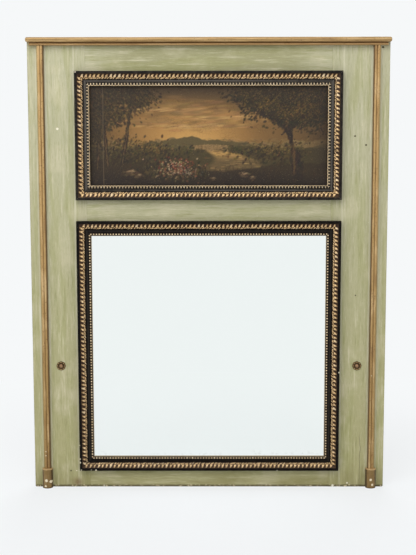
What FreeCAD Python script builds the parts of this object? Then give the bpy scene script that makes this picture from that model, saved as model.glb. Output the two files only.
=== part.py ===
import FreeCAD, Part
import math
import os

import Sketcher

# Trumeau mirror: a painted wooden overmantel panel with a framed canvas above a framed
# mirror, gilt rods down both sides and a gilt moulding along the top.
# X runs to the right, Y towards the wall and Z up. The origin is the middle of the panel's
# bottom edge, half way through the thickness of the boards. All lengths are millimetres.

Vector = FreeCAD.Vector
Rotation = FreeCAD.Rotation
Placement = FreeCAD.Placement

UP = Vector(0, 0, 1)
FRONT_WAY = Vector(0, -1, 0)
WALL_WAY = Vector(0, 1, 0)
RIGHT_WAY = Vector(1, 0, 0)

doc = FreeCAD.newDocument("trumeau_mirror")

# ---------------------------------------------------------------- driving dimensions

DIMENSIONS = (
    ("sight_width", 722, "clear width inside both frames"),
    ("mirror_sight_height", 696, "clear height inside the mirror's frame"),
    ("painting_sight_height", 299, "clear height inside the painting's frame"),
    ("frame_face", 46, "width of a frame member from its outer edge to its sight edge"),
    ("side_margin", 143, "painted board showing on each side of the frames"),
    ("bottom_margin", 56.5, "painted board showing below the mirror's frame"),
    ("frame_gap", 64.5, "painted board showing between the two frames"),
    ("top_margin", 100, "board above the painting's frame, moulding included"),
    ("board_thickness", 24, "thickness of stiles and rails"),
    ("corner_radius", 5, "worn outer bottom corners of the stiles"),
    ("lip", 14, "how far a sight edge covers the edge of the opening behind it"),
    ("mortise_depth", 60, "depth of the mortises in the stiles"),
    ("tenon_thickness", 8, "thickness of the rails' tenons"),
    ("tenon_shoulder", 12, "step from a rail's edge to its tenon"),
    ("joint_clearance", 0.2, "clearance round tenons, tongues and keys"),
    ("peg_radius", 4, "wooden pegs through the mortise and tenon joints"),
    ("peg_length", 20, "length of a peg, driven from the back"),
    ("peg_edge", 28, "peg centre from the edge of its rail"),
    ("outer_fillet", 8, "flat outer fillet of a frame member"),
    ("frame_rise", 20, "height of the outer fillet above the board"),
    ("edge_break", 1, "bevel that breaks the frame's outer edge"),
    ("leaf_width", 16, "width of the carved leaf band"),
    ("leaf_seat_high", 15, "height of the leaf band's seat at its outer edge"),
    ("leaf_seat_low", 6.5, "height of the leaf band's seat at its inner edge"),
    ("leaf_thickness", 4, "edge thickness of the leaf band"),
    ("leaf_crown", 2, "rise of the leaf band's rounded face"),
    ("quirk_width", 1.5, "small quirk between leaf band and hollow"),
    ("hollow_low", 9, "height of the hollow at the quirk"),
    ("hollow_high", 14.5, "height of the hollow beside the beads"),
    ("hollow_depth", 2, "depth of the hollow below its chord"),
    ("bead_width", 8, "width of the strip of beads"),
    ("bead_seat", 11, "height of the beads' seat above the board"),
    ("bead_edge", 1.5, "edge thickness of the bead strip"),
    ("bead_crown", 3.8, "rise of the bead strip's rounded face"),
    ("sight_fillet", 1.5, "flat between the beads and the sight edge"),
    ("moulding_height", 24, "height of the top moulding"),
    ("moulding_projection", 26, "how far the top moulding's nose stands out"),
    ("moulding_overhang", 2, "how far the nose passes each side of the panel"),
    ("nose_height", 14.5, "height of the moulding's rounded nose"),
    ("nose_crown", 6, "roundness of the nose"),
    ("groove_height", 3.5, "height of the groove under the nose"),
    ("groove_depth", 13, "how far the groove is set back from the nose"),
    ("under_projection", 17, "how far the member under the groove stands out"),
    ("under_inset", 8, "how far the lower member stops short of the panel's edge"),
    ("under_crown", 2, "roundness of the member under the groove"),
    ("rod_inset", 40, "rod's centre line from the panel's edge"),
    ("rod_width", 21, "width of a gilt rod"),
    ("rod_base", 9.5, "thickness of the rod below its reeds"),
    ("rod_fillet", 2, "flat on each side of the reeds"),
    ("reed_crown", 3.2, "rise of each of the rod's two reeds"),
    ("plinth_height", 62, "height of a plinth block"),
    ("plinth_width", 32, "width of a plinth block"),
    ("plinth_cheek", 8, "straight side of a plinth block before it rounds"),
    ("plinth_crown", 14, "roundness of the plinth's front"),
    ("rosette_height", 389.5, "rosettes above the panel's bottom edge"),
    ("rosette_radius", 14.5, "radius of a rosette"),
    ("rosette_rim", 3.5, "height of the rosette's raised rim"),
    ("rosette_dish", 2.2, "thickness of the rosette inside its rim"),
    ("boss_radius", 6, "radius of the domed nail head in the rosette"),
    ("boss_height", 4, "height of the domed nail head"),
    ("rosette_shank_radius", 1.3, "radius of the rosette nail's shank"),
    ("rosette_shank_length", 18, "shank of the rosette nail inside the board"),
    ("canvas_gap", 3, "space between canvas edge and opening"),
    ("canvas_thickness", 1, "primed and painted canvas"),
    ("canvas_turn", 16, "canvas turned over the edge of its stretcher"),
    ("bar_width", 50, "width of the stretcher bars"),
    ("bar_thickness", 18, "thickness of the stretcher bars"),
    ("crossbar_width", 40, "width of the middle bar"),
    ("crossbar_setback", 4, "middle bar held clear of the canvas"),
    ("tongue_thickness", 6, "tongues that join the stretcher bars"),
    ("tongue_length", 30, "length of the tongues"),
    ("tongue_shoulder", 10, "step from a bar's edge to its tongue"),
    ("key_length", 30, "length of a stretcher key"),
    ("key_depth", 20, "how far a key is driven into its slot"),
    ("key_thickness", 4, "thickness of a stretcher key"),
    ("tack_radius", 0.8, "shank of a canvas tack"),
    ("tack_length", 9, "shank length of a canvas tack"),
    ("tack_head", 3, "head radius of a canvas tack"),
    ("tack_head_height", 0.8, "head thickness of a canvas tack"),
    ("stay_radius", 1.1, "nails that stay the stretcher in its opening"),
    ("stay_length", 25, "length of those nails"),
    ("stay_grip", 13, "how far they are driven into the wood"),
    ("glass_gap", 2, "space between mirror plate and opening"),
    ("glass_thickness", 4, "mirror plate"),
    ("rebate_depth", 7.5, "rebate in the back of the mirror's frame that takes the plate"),
    ("block_length", 40, "glue blocks behind the mirror plate"),
    ("block_depth", 8, "how far a block reaches over the plate"),
    ("block_thickness", 12, "thickness of a block"),
    ("back_thickness", 8, "backing boards behind the mirror"),
    ("back_overlap", 12, "how far the backing covers the edge of the opening"),
    ("back_gap", 1, "gap between two backing boards"),
    ("nail_radius", 1, "shank of the backing nails"),
    ("nail_length", 20, "length of the backing nails"),
    ("nail_head", 3, "head radius of the backing nails"),
    ("nail_head_height", 0.8, "head thickness of the backing nails"),
    ("nail_edge", 6, "backing nail from the end of its board"),
    ("screw_radius", 2, "shank of the frame and hanger screws"),
    ("screw_head", 4, "head radius of the frame and hanger screws"),
    ("screw_head_height", 2.2, "depth of a countersunk head"),
    ("frame_screw_length", 31, "length of the frame screws"),
    ("frame_screw_inset", 16, "frame screw from the frame's outer edge"),
    ("hanger_drop", 110, "hanger plates below the top of the panel"),
    ("hanger_width", 32, "width of a hanger plate"),
    ("hanger_height", 76, "height of a hanger plate"),
    ("hanger_thickness", 3, "thickness of a hanger plate"),
    ("hanger_hole", 4.5, "radius of the hole that hangs on the wall's screw"),
    ("hanger_screw_spread", 26, "hanger screws above and below that hole"),
    ("hanger_screw_length", 18, "length of the hanger screws"),
    ("recess_radius", 10, "recess in the board behind the hanger's hole"),
    ("recess_depth", 9, "depth of that recess"),
    ("pin_clearance", 0.1, "radial clearance round pegs, nails and screws"),
    ("moulding_nail_radius", 1, "nails that hold the top moulding"),
    ("moulding_nail_inset", 51, "outermost moulding nail from the panel's edge"),
    ("moulding_nail_grip", 15, "how far a moulding nail enters the board"),
    ("moulding_nail_sink", 1.5, "depth of a moulding nail's head below the surface"),
)

sizes = doc.addObject("Spreadsheet::Sheet", "sizes")
sizes.Label = "sizes"
for row, (alias, number, meaning) in enumerate(DIMENSIONS, start=1):
    sizes.set(f"A{row}", str(number))
    sizes.setAlias(f"A{row}", alias)
    sizes.set(f"B{row}", meaning)
doc.recompute()


def value(expression):
    """The number that an expression on the spreadsheet stands for."""
    result = sizes.evalExpression(str(expression))
    return float(getattr(result, "Value", result))


# Sizes that follow from the driving ones, written as expressions on the spreadsheet.
FRONT = "(-sizes.board_thickness / 2)"
BACK = "(sizes.board_thickness / 2)"
OPENING_WIDTH = "(sizes.sight_width + 2 * sizes.lip)"
FRAME_WIDTH = "(sizes.sight_width + 2 * sizes.frame_face)"
PANEL_WIDTH = f"({FRAME_WIDTH} + 2 * sizes.side_margin)"
STILE_WIDTH = f"(({PANEL_WIDTH} - {OPENING_WIDTH}) / 2)"
COVER = "(sizes.frame_face - sizes.lip)"
MIRROR_FOOT = "sizes.bottom_margin"
MIRROR_HEIGHT = "(sizes.mirror_sight_height + 2 * sizes.frame_face)"
MIRROR_HEAD = f"({MIRROR_FOOT} + {MIRROR_HEIGHT})"
PAINTING_FOOT = f"({MIRROR_HEAD} + sizes.frame_gap)"
PAINTING_HEIGHT = "(sizes.painting_sight_height + 2 * sizes.frame_face)"
PAINTING_HEAD = f"({PAINTING_FOOT} + {PAINTING_HEIGHT})"
PANEL_HEIGHT = f"({PAINTING_HEAD} + sizes.top_margin)"
MIRROR_LOW = f"({MIRROR_FOOT} + {COVER})"
MIRROR_HIGH = f"({MIRROR_HEAD} - {COVER})"
PAINTING_LOW = f"({PAINTING_FOOT} + {COVER})"
PAINTING_HIGH = f"({PAINTING_HEAD} - {COVER})"
ROD_X = f"({PANEL_WIDTH} / 2 - sizes.rod_inset)"
STILE_CENTRE = f"(({PANEL_WIDTH} - {STILE_WIDTH}) / 2)"
MOULDING_FOOT = f"({PANEL_HEIGHT} - sizes.moulding_height)"

nodes = []


def keep(thing, label):
    """Names a finished piece, so that it is checked and written."""
    thing.Label = label
    nodes.append(thing)
    return thing


# ---------------------------------------------------------------- ways of making a piece

def bind(thing, **expressions):
    for name, expression in expressions.items():
        thing.setExpression(name.replace("_", "."), str(expression))


def place(thing, x=0, y=0, z=0):
    for axis, expression in (("x", x), ("y", y), ("z", z)):
        thing.setExpression(f"Placement.Base.{axis}", str(expression))


def box(name, low, size):
    """A block from its low corner and its size, both as expressions."""
    block = doc.addObject("Part::Box", name)
    bind(block, Length=size[0], Width=size[1], Height=size[2])
    place(block, *low)
    return block


def fuse(name, *pieces):
    union = doc.addObject("Part::MultiFuse", name)
    union.Shapes = list(pieces)
    union.Refine = True
    return union


def cut(name, base, *tools):
    """Base less every tool."""
    removed = tools[0]
    if len(tools) > 1:
        removed = doc.addObject("Part::Compound", name + "_cuts")
        removed.Links = list(tools)
    result = doc.addObject("Part::Cut", name)
    result.Base = base
    result.Tool = removed
    return result


def mirrored(name, source):
    """The same piece on the other side of the panel."""
    twin = doc.addObject("Part::Mirroring", name)
    twin.Source = source
    twin.Normal = RIGHT_WAY
    return twin


def arc_radius(start, end, crown):
    """Radius of the arc that rises by crown over the chord from start to end."""
    chord = f"(({end[0]} - ({start[0]})) ^ 2 + ({end[1]} - ({start[1]})) ^ 2)"
    return f"({chord} / 8 / ({crown}) + ({crown}) / 2)"


def draw_outline(sketch, outline):
    """A closed outline whose corners, and the radii of its arcs, are bound to the sizes.

    Each corner is (x, y), or (x, y, crown) where an arc leads to the next corner: it
    bulges to the left of the way the outline runs if bulge is "left", as the fourth item.
    """
    corners = [(value(corner[0]), value(corner[1])) for corner in outline]
    count = len(outline)
    starts = []
    ends = []
    for index, corner in enumerate(outline):
        x0, y0 = corners[index]
        x1, y1 = corners[(index + 1) % count]
        if len(corner) == 2:
            sketch.addGeometry(Part.LineSegment(Vector(x0, y0, 0), Vector(x1, y1, 0)))
            starts.append(1)
            ends.append(2)
            continue
        radius = value(arc_radius(corner, outline[(index + 1) % count], corner[2]))
        crown = value(corner[2])
        chord = math.hypot(x1 - x0, y1 - y0)
        side = 1 if corner[3] == "left" else -1
        left = (-(y1 - y0) / chord, (x1 - x0) / chord)
        reach = side * (crown - radius)
        centre = Vector((x0 + x1) / 2 + left[0] * reach, (y0 + y1) / 2 + left[1] * reach, 0)
        from_start = math.atan2(y0 - centre.y, x0 - centre.x)
        from_end = math.atan2(y1 - centre.y, x1 - centre.x)
        circle = Part.Circle(centre, UP, radius)
        if side > 0:
            from_start, from_end = from_end, from_start
        if from_end < from_start:
            from_end += 2 * math.pi
        sketch.addGeometry(Part.ArcOfCircle(circle, from_start, from_end))
        starts.append(2 if side > 0 else 1)
        ends.append(1 if side > 0 else 2)
    for index in range(count):
        after = (index + 1) % count
        joint = Sketcher.Constraint("Coincident", index, ends[index], after, starts[after])
        sketch.addConstraint(joint)
    for index, corner in enumerate(outline):
        for kind, number, expression in (
            ("DistanceX", corners[index][0], corner[0]),
            ("DistanceY", corners[index][1], corner[1]),
        ):
            rule = Sketcher.Constraint(kind, -1, 1, index, starts[index], number)
            spot = sketch.addConstraint(rule)
            sketch.setExpression(f"Constraints[{spot}]", str(expression))
        if len(corner) > 2:
            radius = arc_radius(corner, outline[(index + 1) % count], corner[2])
            spot = sketch.addConstraint(Sketcher.Constraint("Radius", index, value(radius)))
            sketch.setExpression(f"Constraints[{spot}]", radius)


def body_sketch(body, name, plane, outline):
    sketch = body.newObject("Sketcher::SketchObject", name)
    origin_plane = [item for item in body.Origin.OriginFeatures if item.Role == plane][0]
    sketch.AttachmentSupport = [(origin_plane, "")]
    sketch.MapMode = "FlatFace"
    draw_outline(sketch, outline)
    return sketch


def padded(name, plane, outline, length, symmetric=False):
    """A body whose outline on one of its planes is padded to a length."""
    body = doc.addObject("PartDesign::Body", name)
    pad = body.newObject("PartDesign::Pad", name + "_pad")
    pad.Profile = body_sketch(body, name + "_outline", plane, outline)
    pad.setExpression("Length", str(length))
    if symmetric:
        pad.SideType = "Symmetric"
    body.Tip = pad
    return body


def turned(name, outline):
    """A solid of revolution: x in the outline is the radius, y the height above the board."""
    sketch = doc.addObject("Sketcher::SketchObject", name + "_outline")
    draw_outline(sketch, outline)
    solid = doc.addObject("Part::Revolution", name)
    solid.Source = sketch
    solid.Axis = WALL_WAY
    solid.Angle = 360
    solid.Solid = True
    return solid


def pin(radius, length, head_radius=0, head_height=0, countersunk=False):
    """A nail, screw, tack or peg: shank down -Z from the surface, head on or in it."""
    shank = Part.makeCylinder(radius, length, Vector(0, 0, -length))
    if not head_radius:
        return shank
    if countersunk:
        low = Vector(0, 0, -head_height)
        return shank.fuse(Part.makeCone(radius, head_radius, head_height, low)).removeSplitter()
    return shank.fuse(Part.makeCylinder(head_radius, head_height)).removeSplitter()


def copies(name, shape, spots):
    """One object that holds a separate copy of a shape at each spot.

    A spot is the point on the surface and the way that the head faces.
    """
    group = doc.addObject("Part::Feature", name)
    placed = []
    for point, facing in spots:
        copy = shape.copy()
        copy.Placement = Placement(Vector(*point), Rotation(UP, facing))
        placed.append(copy)
    group.Shape = Part.makeCompound(placed)
    return group


# ---------------------------------------------------------------- fasteners and their holes

half_opening = value(OPENING_WIDTH) / 2
front = value(FRONT)
back = value(BACK)
clearance = value("sizes.pin_clearance")
stile_centre = value(STILE_CENTRE)
panel_height = value(PANEL_HEIGHT)

RAILS = (
    ("bottom_rail", "0", MIRROR_LOW),
    ("middle_rail", MIRROR_HIGH, PAINTING_LOW),
    ("top_rail", PAINTING_HIGH, PANEL_HEIGHT),
)

# Pegs lock each tenon: two to a joint, driven from the back and stopping short of the front.
peg_x = half_opening + value("sizes.mortise_depth") / 2
peg_spots = []
for _, low, high in RAILS:
    for peg_z in (value(low) + value("sizes.peg_edge"), value(high) - value("sizes.peg_edge")):
        for side in (-1, 1):
            peg_spots.append(((side * peg_x, back, peg_z), WALL_WAY))
peg_radius = value("sizes.peg_radius")
peg_length = value("sizes.peg_length")
keep(copies("joint_pegs", pin(peg_radius, peg_length), peg_spots), "joint_pegs")
peg_holes = copies("peg_holes", pin(peg_radius + clearance, peg_length + clearance), peg_spots)

# Screws through the boards hold the frames: two to a member, countersunk in the back.
frame_screw_inset = value("sizes.frame_screw_inset")
half_frame = value(FRAME_WIDTH) / 2
frame_screw_spots = []
for foot, head in ((MIRROR_FOOT, MIRROR_HEAD), (PAINTING_FOOT, PAINTING_HEAD)):
    foot_z = value(foot)
    head_z = value(head)
    quarter = (head_z - foot_z) / 4
    for side in (-1, 1):
        for screw_z in (foot_z + quarter, head_z - quarter):
            screw_x = side * (half_frame - frame_screw_inset)
            frame_screw_spots.append(((screw_x, back, screw_z), WALL_WAY))
        for screw_z in (foot_z + frame_screw_inset, head_z - frame_screw_inset):
            frame_screw_spots.append(((side * half_frame / 2, back, screw_z), WALL_WAY))
screw_radius = value("sizes.screw_radius")
screw_head = value("sizes.screw_head")
screw_head_height = value("sizes.screw_head_height")
frame_screw_length = value("sizes.frame_screw_length")
keep(
    copies(
        "frame_screws",
        pin(screw_radius, frame_screw_length, screw_head, screw_head_height, True),
        frame_screw_spots,
    ),
    "frame_screws",
)
frame_screw_holes = copies(
    "frame_screw_holes",
    pin(
        screw_radius + clearance,
        frame_screw_length + clearance,
        screw_head + clearance,
        screw_head_height + clearance,
        True,
    ),
    frame_screw_spots,
)

# Hanger plates: one on the back of each stile, over a recess for the wall screw's head.
hanger_z = panel_height - value("sizes.hanger_drop")
hanger_face = back + value("sizes.hanger_thickness")
hanger_spread = value("sizes.hanger_screw_spread")
hanger_screw_length = value("sizes.hanger_screw_length")
hanger_screw_spots = []
hanger_spots = []
for side in (-1, 1):
    hanger_spots.append(((side * stile_centre, hanger_face, hanger_z), WALL_WAY))
    for spread in (-hanger_spread, hanger_spread):
        point = (side * stile_centre, hanger_face, hanger_z + spread)
        hanger_screw_spots.append((point, WALL_WAY))
keep(
    copies(
        "hanger_screws",
        pin(screw_radius, hanger_screw_length, screw_head, screw_head_height, True),
        hanger_screw_spots,
    ),
    "hanger_screws",
)
hanger_screw_holes = copies(
    "hanger_screw_holes",
    pin(
        screw_radius + clearance,
        hanger_screw_length + clearance,
        screw_head + clearance,
        screw_head_height + clearance,
        True,
    ),
    hanger_screw_spots,
)
hanger_recesses = copies(
    "hanger_recesses",
    pin(value("sizes.recess_radius"), value("sizes.recess_depth + sizes.hanger_thickness")),
    hanger_spots,
)
hanger_holes = copies(
    "hanger_holes",
    pin(value("sizes.hanger_hole"), value("sizes.hanger_thickness")),
    hanger_spots,
)

# Nails through the top moulding, punched below its surface.
moulding_nail_sink = value("sizes.moulding_nail_sink")
moulding_nail_length = (
    value("sizes.moulding_projection + sizes.moulding_nail_grip") - moulding_nail_sink
)
moulding_nail_step = (value(PANEL_WIDTH) / 2 - value("sizes.moulding_nail_inset")) / 2
moulding_face = front - value("sizes.moulding_projection")
nose_centre = panel_height - value("sizes.nose_height") / 2
moulding_nail_spots = []
moulding_hole_spots = []
for number in range(-2, 3):
    nail_x = number * moulding_nail_step
    nail_point = (nail_x, moulding_face + moulding_nail_sink, nose_centre)
    moulding_nail_spots.append((nail_point, FRONT_WAY))
    moulding_hole_spots.append(((nail_x, moulding_face, nose_centre), FRONT_WAY))
moulding_nail_radius = value("sizes.moulding_nail_radius")
keep(
    copies(
        "moulding_nails",
        pin(moulding_nail_radius, moulding_nail_length),
        moulding_nail_spots,
    ),
    "moulding_nails",
)
moulding_nail_holes = copies(
    "moulding_nail_holes",
    pin(
        moulding_nail_radius + clearance,
        moulding_nail_length + moulding_nail_sink + clearance,
    ),
    moulding_hole_spots,
)

# Nails left standing out of the opening's edges keep the stretcher from falling back.
stay_radius = value("sizes.stay_radius")
stay_length = value("sizes.stay_length")
stay_grip = value("sizes.stay_grip")
stay_y = front + value("sizes.canvas_thickness + sizes.bar_thickness + sizes.stay_radius")
painting_low = value(PAINTING_LOW)
painting_high = value(PAINTING_HIGH)
painting_middle = (painting_low + painting_high) / 2
stay_proud = stay_length - stay_grip
stay_spots = []
for side in (-1, 1):
    point = (side * (half_opening - stay_proud), stay_y, painting_middle)
    stay_spots.append((point, Vector(-side, 0, 0)))
    point = (side * half_opening / 2, stay_y, painting_low + stay_proud)
    stay_spots.append((point, UP))
    point = (side * half_opening / 2, stay_y, painting_high - stay_proud)
    stay_spots.append((point, -UP))
keep(copies("stretcher_stays", pin(stay_radius, stay_length), stay_spots), "stretcher_stays")
stay_holes = copies(
    "stay_holes", pin(stay_radius + clearance, stay_length + clearance), stay_spots
)

# Two nails hold each end of each backing board.
BACK_BOARDS = 3
back_overlap = value("sizes.back_overlap")
back_gap = value("sizes.back_gap")
back_low = value(MIRROR_LOW) - back_overlap
back_span = value(MIRROR_HIGH) + back_overlap - back_low
back_board_height = (back_span - (BACK_BOARDS - 1) * back_gap) / BACK_BOARDS
back_nail_x = half_opening + back_overlap - value("sizes.nail_edge")
back_face = back + value("sizes.back_thickness")
back_nail_spots = []
for number in range(BACK_BOARDS):
    board_low = back_low + number * (back_board_height + back_gap)
    for nail_z in (board_low + back_board_height / 4, board_low + back_board_height * 3 / 4):
        for side in (-1, 1):
            back_nail_spots.append(((side * back_nail_x, back_face, nail_z), WALL_WAY))
nail_radius = value("sizes.nail_radius")
nail_length = value("sizes.nail_length")
nail_head = value("sizes.nail_head")
nail_head_height = value("sizes.nail_head_height")
keep(
    copies(
        "back_board_nails",
        pin(nail_radius, nail_length, nail_head, nail_head_height, True),
        back_nail_spots,
    ),
    "back_board_nails",
)
back_nail_holes = copies(
    "back_nail_holes",
    pin(
        nail_radius + clearance,
        nail_length + clearance,
        nail_head + clearance,
        nail_head_height + clearance,
        True,
    ),
    back_nail_spots,
)

# Tacks along the turned edge of the canvas.
canvas_half_width = half_opening - value("sizes.canvas_gap")
canvas_low = painting_low + value("sizes.canvas_gap")
canvas_high = painting_high - value("sizes.canvas_gap")
tack_y = front + value("sizes.canvas_thickness + sizes.canvas_turn") / 2
TACKS_ALONG = 9
TACKS_UP = 4
tack_spots = []
for number in range(TACKS_ALONG):
    tack_x = canvas_half_width * (2 * (number + 0.5) / TACKS_ALONG - 1)
    tack_spots.append(((tack_x, tack_y, canvas_low), -UP))
    tack_spots.append(((tack_x, tack_y, canvas_high), UP))
for number in range(TACKS_UP):
    tack_z = canvas_low + (canvas_high - canvas_low) * (number + 0.5) / TACKS_UP
    tack_spots.append(((-canvas_half_width, tack_y, tack_z), -RIGHT_WAY))
    tack_spots.append(((canvas_half_width, tack_y, tack_z), RIGHT_WAY))
tack_radius = value("sizes.tack_radius")
tack_length = value("sizes.tack_length")
keep(
    copies(
        "canvas_tacks",
        pin(tack_radius, tack_length, value("sizes.tack_head"), value("sizes.tack_head_height")),
        tack_spots,
    ),
    "canvas_tacks",
)
tack_holes = copies(
    "tack_holes", pin(tack_radius + clearance, tack_length + clearance), tack_spots
)

# ---------------------------------------------------------------- boards

# Stile: one board the full height of the panel, its outer bottom corner worn round. Each
# rail enters it with a mortise and tenon joint.
CORNER_CROWN = "(sizes.corner_radius * (sqrt(2) - 1) / sqrt(2))"
stile_body = padded(
    "stile_body",
    "XZ_Plane",
    (
        (f"-{PANEL_WIDTH} / 2", PANEL_HEIGHT),
        (f"-{OPENING_WIDTH} / 2", PANEL_HEIGHT),
        (f"-{OPENING_WIDTH} / 2", "0"),
        (f"-{PANEL_WIDTH} / 2 + sizes.corner_radius", "0", CORNER_CROWN, "left"),
        (f"-{PANEL_WIDTH} / 2", "sizes.corner_radius"),
    ),
    "sizes.board_thickness",
    symmetric=True,
)
TENON_LENGTH = "(sizes.mortise_depth - sizes.joint_clearance)"
mortises = []
for name, low, high in RAILS:
    rail_height = f"({high} - {low})"
    mortises.append(
        box(
            name + "_mortise",
            (
                f"-{OPENING_WIDTH} / 2 - sizes.mortise_depth",
                "-sizes.tenon_thickness / 2 - sizes.joint_clearance",
                f"{low} + sizes.tenon_shoulder - sizes.joint_clearance",
            ),
            (
                "sizes.mortise_depth",
                "sizes.tenon_thickness + 2 * sizes.joint_clearance",
                f"{rail_height} - 2 * sizes.tenon_shoulder + 2 * sizes.joint_clearance",
            ),
        )
    )
rosette_nail_spots = [
    ((-stile_centre, front, value("sizes.rosette_height")), FRONT_WAY),
]
rosette_nail_hole = copies(
    "rosette_nail_hole",
    pin(
        value("sizes.rosette_shank_radius") + clearance,
        value("sizes.rosette_shank_length") + clearance,
    ),
    rosette_nail_spots,
)
left_stile = cut(
    "left_stile",
    stile_body,
    *mortises,
    peg_holes,
    frame_screw_holes,
    hanger_screw_holes,
    hanger_recesses,
    moulding_nail_holes,
    stay_holes,
    back_nail_holes,
    rosette_nail_hole,
)
keep(left_stile, "left_stile")
keep(mirrored("right_stile", left_stile), "right_stile")

# Rails: shouldered tenons at both ends.
for name, low, high in RAILS:
    rail_height = f"({high} - {low})"
    rail = box(
        name + "_board",
        (f"-{OPENING_WIDTH} / 2", FRONT, low),
        (OPENING_WIDTH, "sizes.board_thickness", rail_height),
    )
    tenons = box(
        name + "_tenons",
        (
            f"-{OPENING_WIDTH} / 2 - {TENON_LENGTH}",
            "-sizes.tenon_thickness / 2",
            f"{low} + sizes.tenon_shoulder",
        ),
        (
            f"{OPENING_WIDTH} + 2 * {TENON_LENGTH}",
            "sizes.tenon_thickness",
            f"{rail_height} - 2 * sizes.tenon_shoulder",
        ),
    )
    blank = fuse(name + "_blank", rail, tenons)
    holes = (peg_holes, frame_screw_holes, moulding_nail_holes, stay_holes, back_nail_holes)
    keep(cut(name, blank, *holes), name)

# ---------------------------------------------------------------- gilt mouldings

# Top moulding: a rounded nose over a groove and a smaller rounded member.
NOSE_FOOT = f"({PANEL_HEIGHT} - sizes.nose_height)"
GROOVE_FOOT = f"({NOSE_FOOT} - sizes.groove_height)"
nose = padded(
    "moulding_nose",
    "YZ_Plane",
    (
        (FRONT, PANEL_HEIGHT),
        (FRONT, NOSE_FOOT),
        (
            f"{FRONT} - sizes.moulding_projection + sizes.nose_crown",
            NOSE_FOOT,
            "sizes.nose_crown",
            "left",
        ),
        (f"{FRONT} - sizes.moulding_projection + sizes.nose_crown", PANEL_HEIGHT),
    ),
    f"{PANEL_WIDTH} + 2 * sizes.moulding_overhang",
    symmetric=True,
)
under = padded(
    "moulding_under",
    "YZ_Plane",
    (
        (FRONT, NOSE_FOOT),
        (FRONT, MOULDING_FOOT),
        (
            f"{FRONT} - sizes.under_projection + sizes.under_crown",
            MOULDING_FOOT,
            "sizes.under_crown",
            "left",
        ),
        (f"{FRONT} - sizes.under_projection + sizes.under_crown", GROOVE_FOOT),
        (f"{FRONT} - sizes.moulding_projection + sizes.groove_depth", GROOVE_FOOT),
        (f"{FRONT} - sizes.moulding_projection + sizes.groove_depth", NOSE_FOOT),
    ),
    f"{PANEL_WIDTH} - 2 * sizes.under_inset",
    symmetric=True,
)
keep(cut("top_moulding", fuse("moulding_blank", nose, under), moulding_nail_holes), "top_moulding")

# Rods: two reeds side by side on a flat strip, from plinth to moulding.
left_rod = padded(
    "left_rod",
    "XY_Plane",
    (
        (f"-{ROD_X} - sizes.rod_width / 2", FRONT),
        (f"-{ROD_X} - sizes.rod_width / 2", f"{FRONT} - sizes.rod_base"),
        (
            f"-{ROD_X} - sizes.rod_width / 2 + sizes.rod_fillet",
            f"{FRONT} - sizes.rod_base",
            "sizes.reed_crown",
            "right",
        ),
        (f"-{ROD_X}", f"{FRONT} - sizes.rod_base", "sizes.reed_crown", "right"),
        (
            f"-{ROD_X} + sizes.rod_width / 2 - sizes.rod_fillet",
            f"{FRONT} - sizes.rod_base",
        ),
        (f"-{ROD_X} + sizes.rod_width / 2", f"{FRONT} - sizes.rod_base"),
        (f"-{ROD_X} + sizes.rod_width / 2", FRONT),
    ),
    f"{MOULDING_FOOT} - sizes.plinth_height",
)
place(left_rod, z="sizes.plinth_height")
keep(left_rod, "left_rod")
keep(mirrored("right_rod", left_rod), "right_rod")

# Plinths: round-fronted blocks at the feet of the rods.
left_plinth = padded(
    "left_plinth",
    "XY_Plane",
    (
        (f"-{ROD_X} - sizes.plinth_width / 2", FRONT),
        (
            f"-{ROD_X} - sizes.plinth_width / 2",
            f"{FRONT} - sizes.plinth_cheek",
            "sizes.plinth_crown",
            "right",
        ),
        (f"-{ROD_X} + sizes.plinth_width / 2", f"{FRONT} - sizes.plinth_cheek"),
        (f"-{ROD_X} + sizes.plinth_width / 2", FRONT),
    ),
    "sizes.plinth_height",
)
keep(left_plinth, "left_plinth")
keep(mirrored("right_plinth", left_plinth), "right_plinth")

# ---------------------------------------------------------------- frames

# Section of a frame member: (distance in from the outer edge, height above the board).
LEAF_END = "(sizes.outer_fillet + sizes.leaf_width)"
HOLLOW_START = f"({LEAF_END} + sizes.quirk_width)"
BEAD_END = "(sizes.frame_face - sizes.sight_fillet)"
BEAD_START = f"({BEAD_END} - sizes.bead_width)"
FRAME_SECTION = (
    ("0", "0"),
    ("0", "sizes.frame_rise - sizes.edge_break"),
    ("sizes.edge_break", "sizes.frame_rise"),
    ("sizes.outer_fillet", "sizes.frame_rise"),
    ("sizes.outer_fillet", "sizes.leaf_seat_high"),
    (LEAF_END, "sizes.leaf_seat_low"),
    (HOLLOW_START, "sizes.hollow_low", "sizes.hollow_depth", "left"),
    (BEAD_START, "sizes.hollow_high"),
    (BEAD_START, "sizes.bead_seat"),
    ("sizes.frame_face", "sizes.bead_seat"),
    ("sizes.frame_face", "0"),
)
# The mirror's frame is rebated behind its sight edge, and the plate lies in the rebate.
REBATED_SECTION = FRAME_SECTION[:-1] + (
    ("sizes.frame_face", "sizes.rebate_depth"),
    (COVER, "sizes.rebate_depth"),
    (COVER, "0"),
)
LEAF_SECTION = (
    ("sizes.outer_fillet", "sizes.leaf_seat_high"),
    (
        "sizes.outer_fillet",
        "sizes.leaf_seat_high + sizes.leaf_thickness",
        "sizes.leaf_crown",
        "right",
    ),
    (LEAF_END, "sizes.leaf_seat_low + sizes.leaf_thickness"),
    (LEAF_END, "sizes.leaf_seat_low"),
)
BEAD_SECTION = (
    (BEAD_START, "sizes.bead_seat"),
    (BEAD_START, "sizes.bead_seat + sizes.bead_edge", "sizes.bead_crown", "right"),
    (BEAD_END, "sizes.bead_seat + sizes.bead_edge"),
    (BEAD_END, "sizes.bead_seat"),
)
CUT_MARGIN = 2


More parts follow.
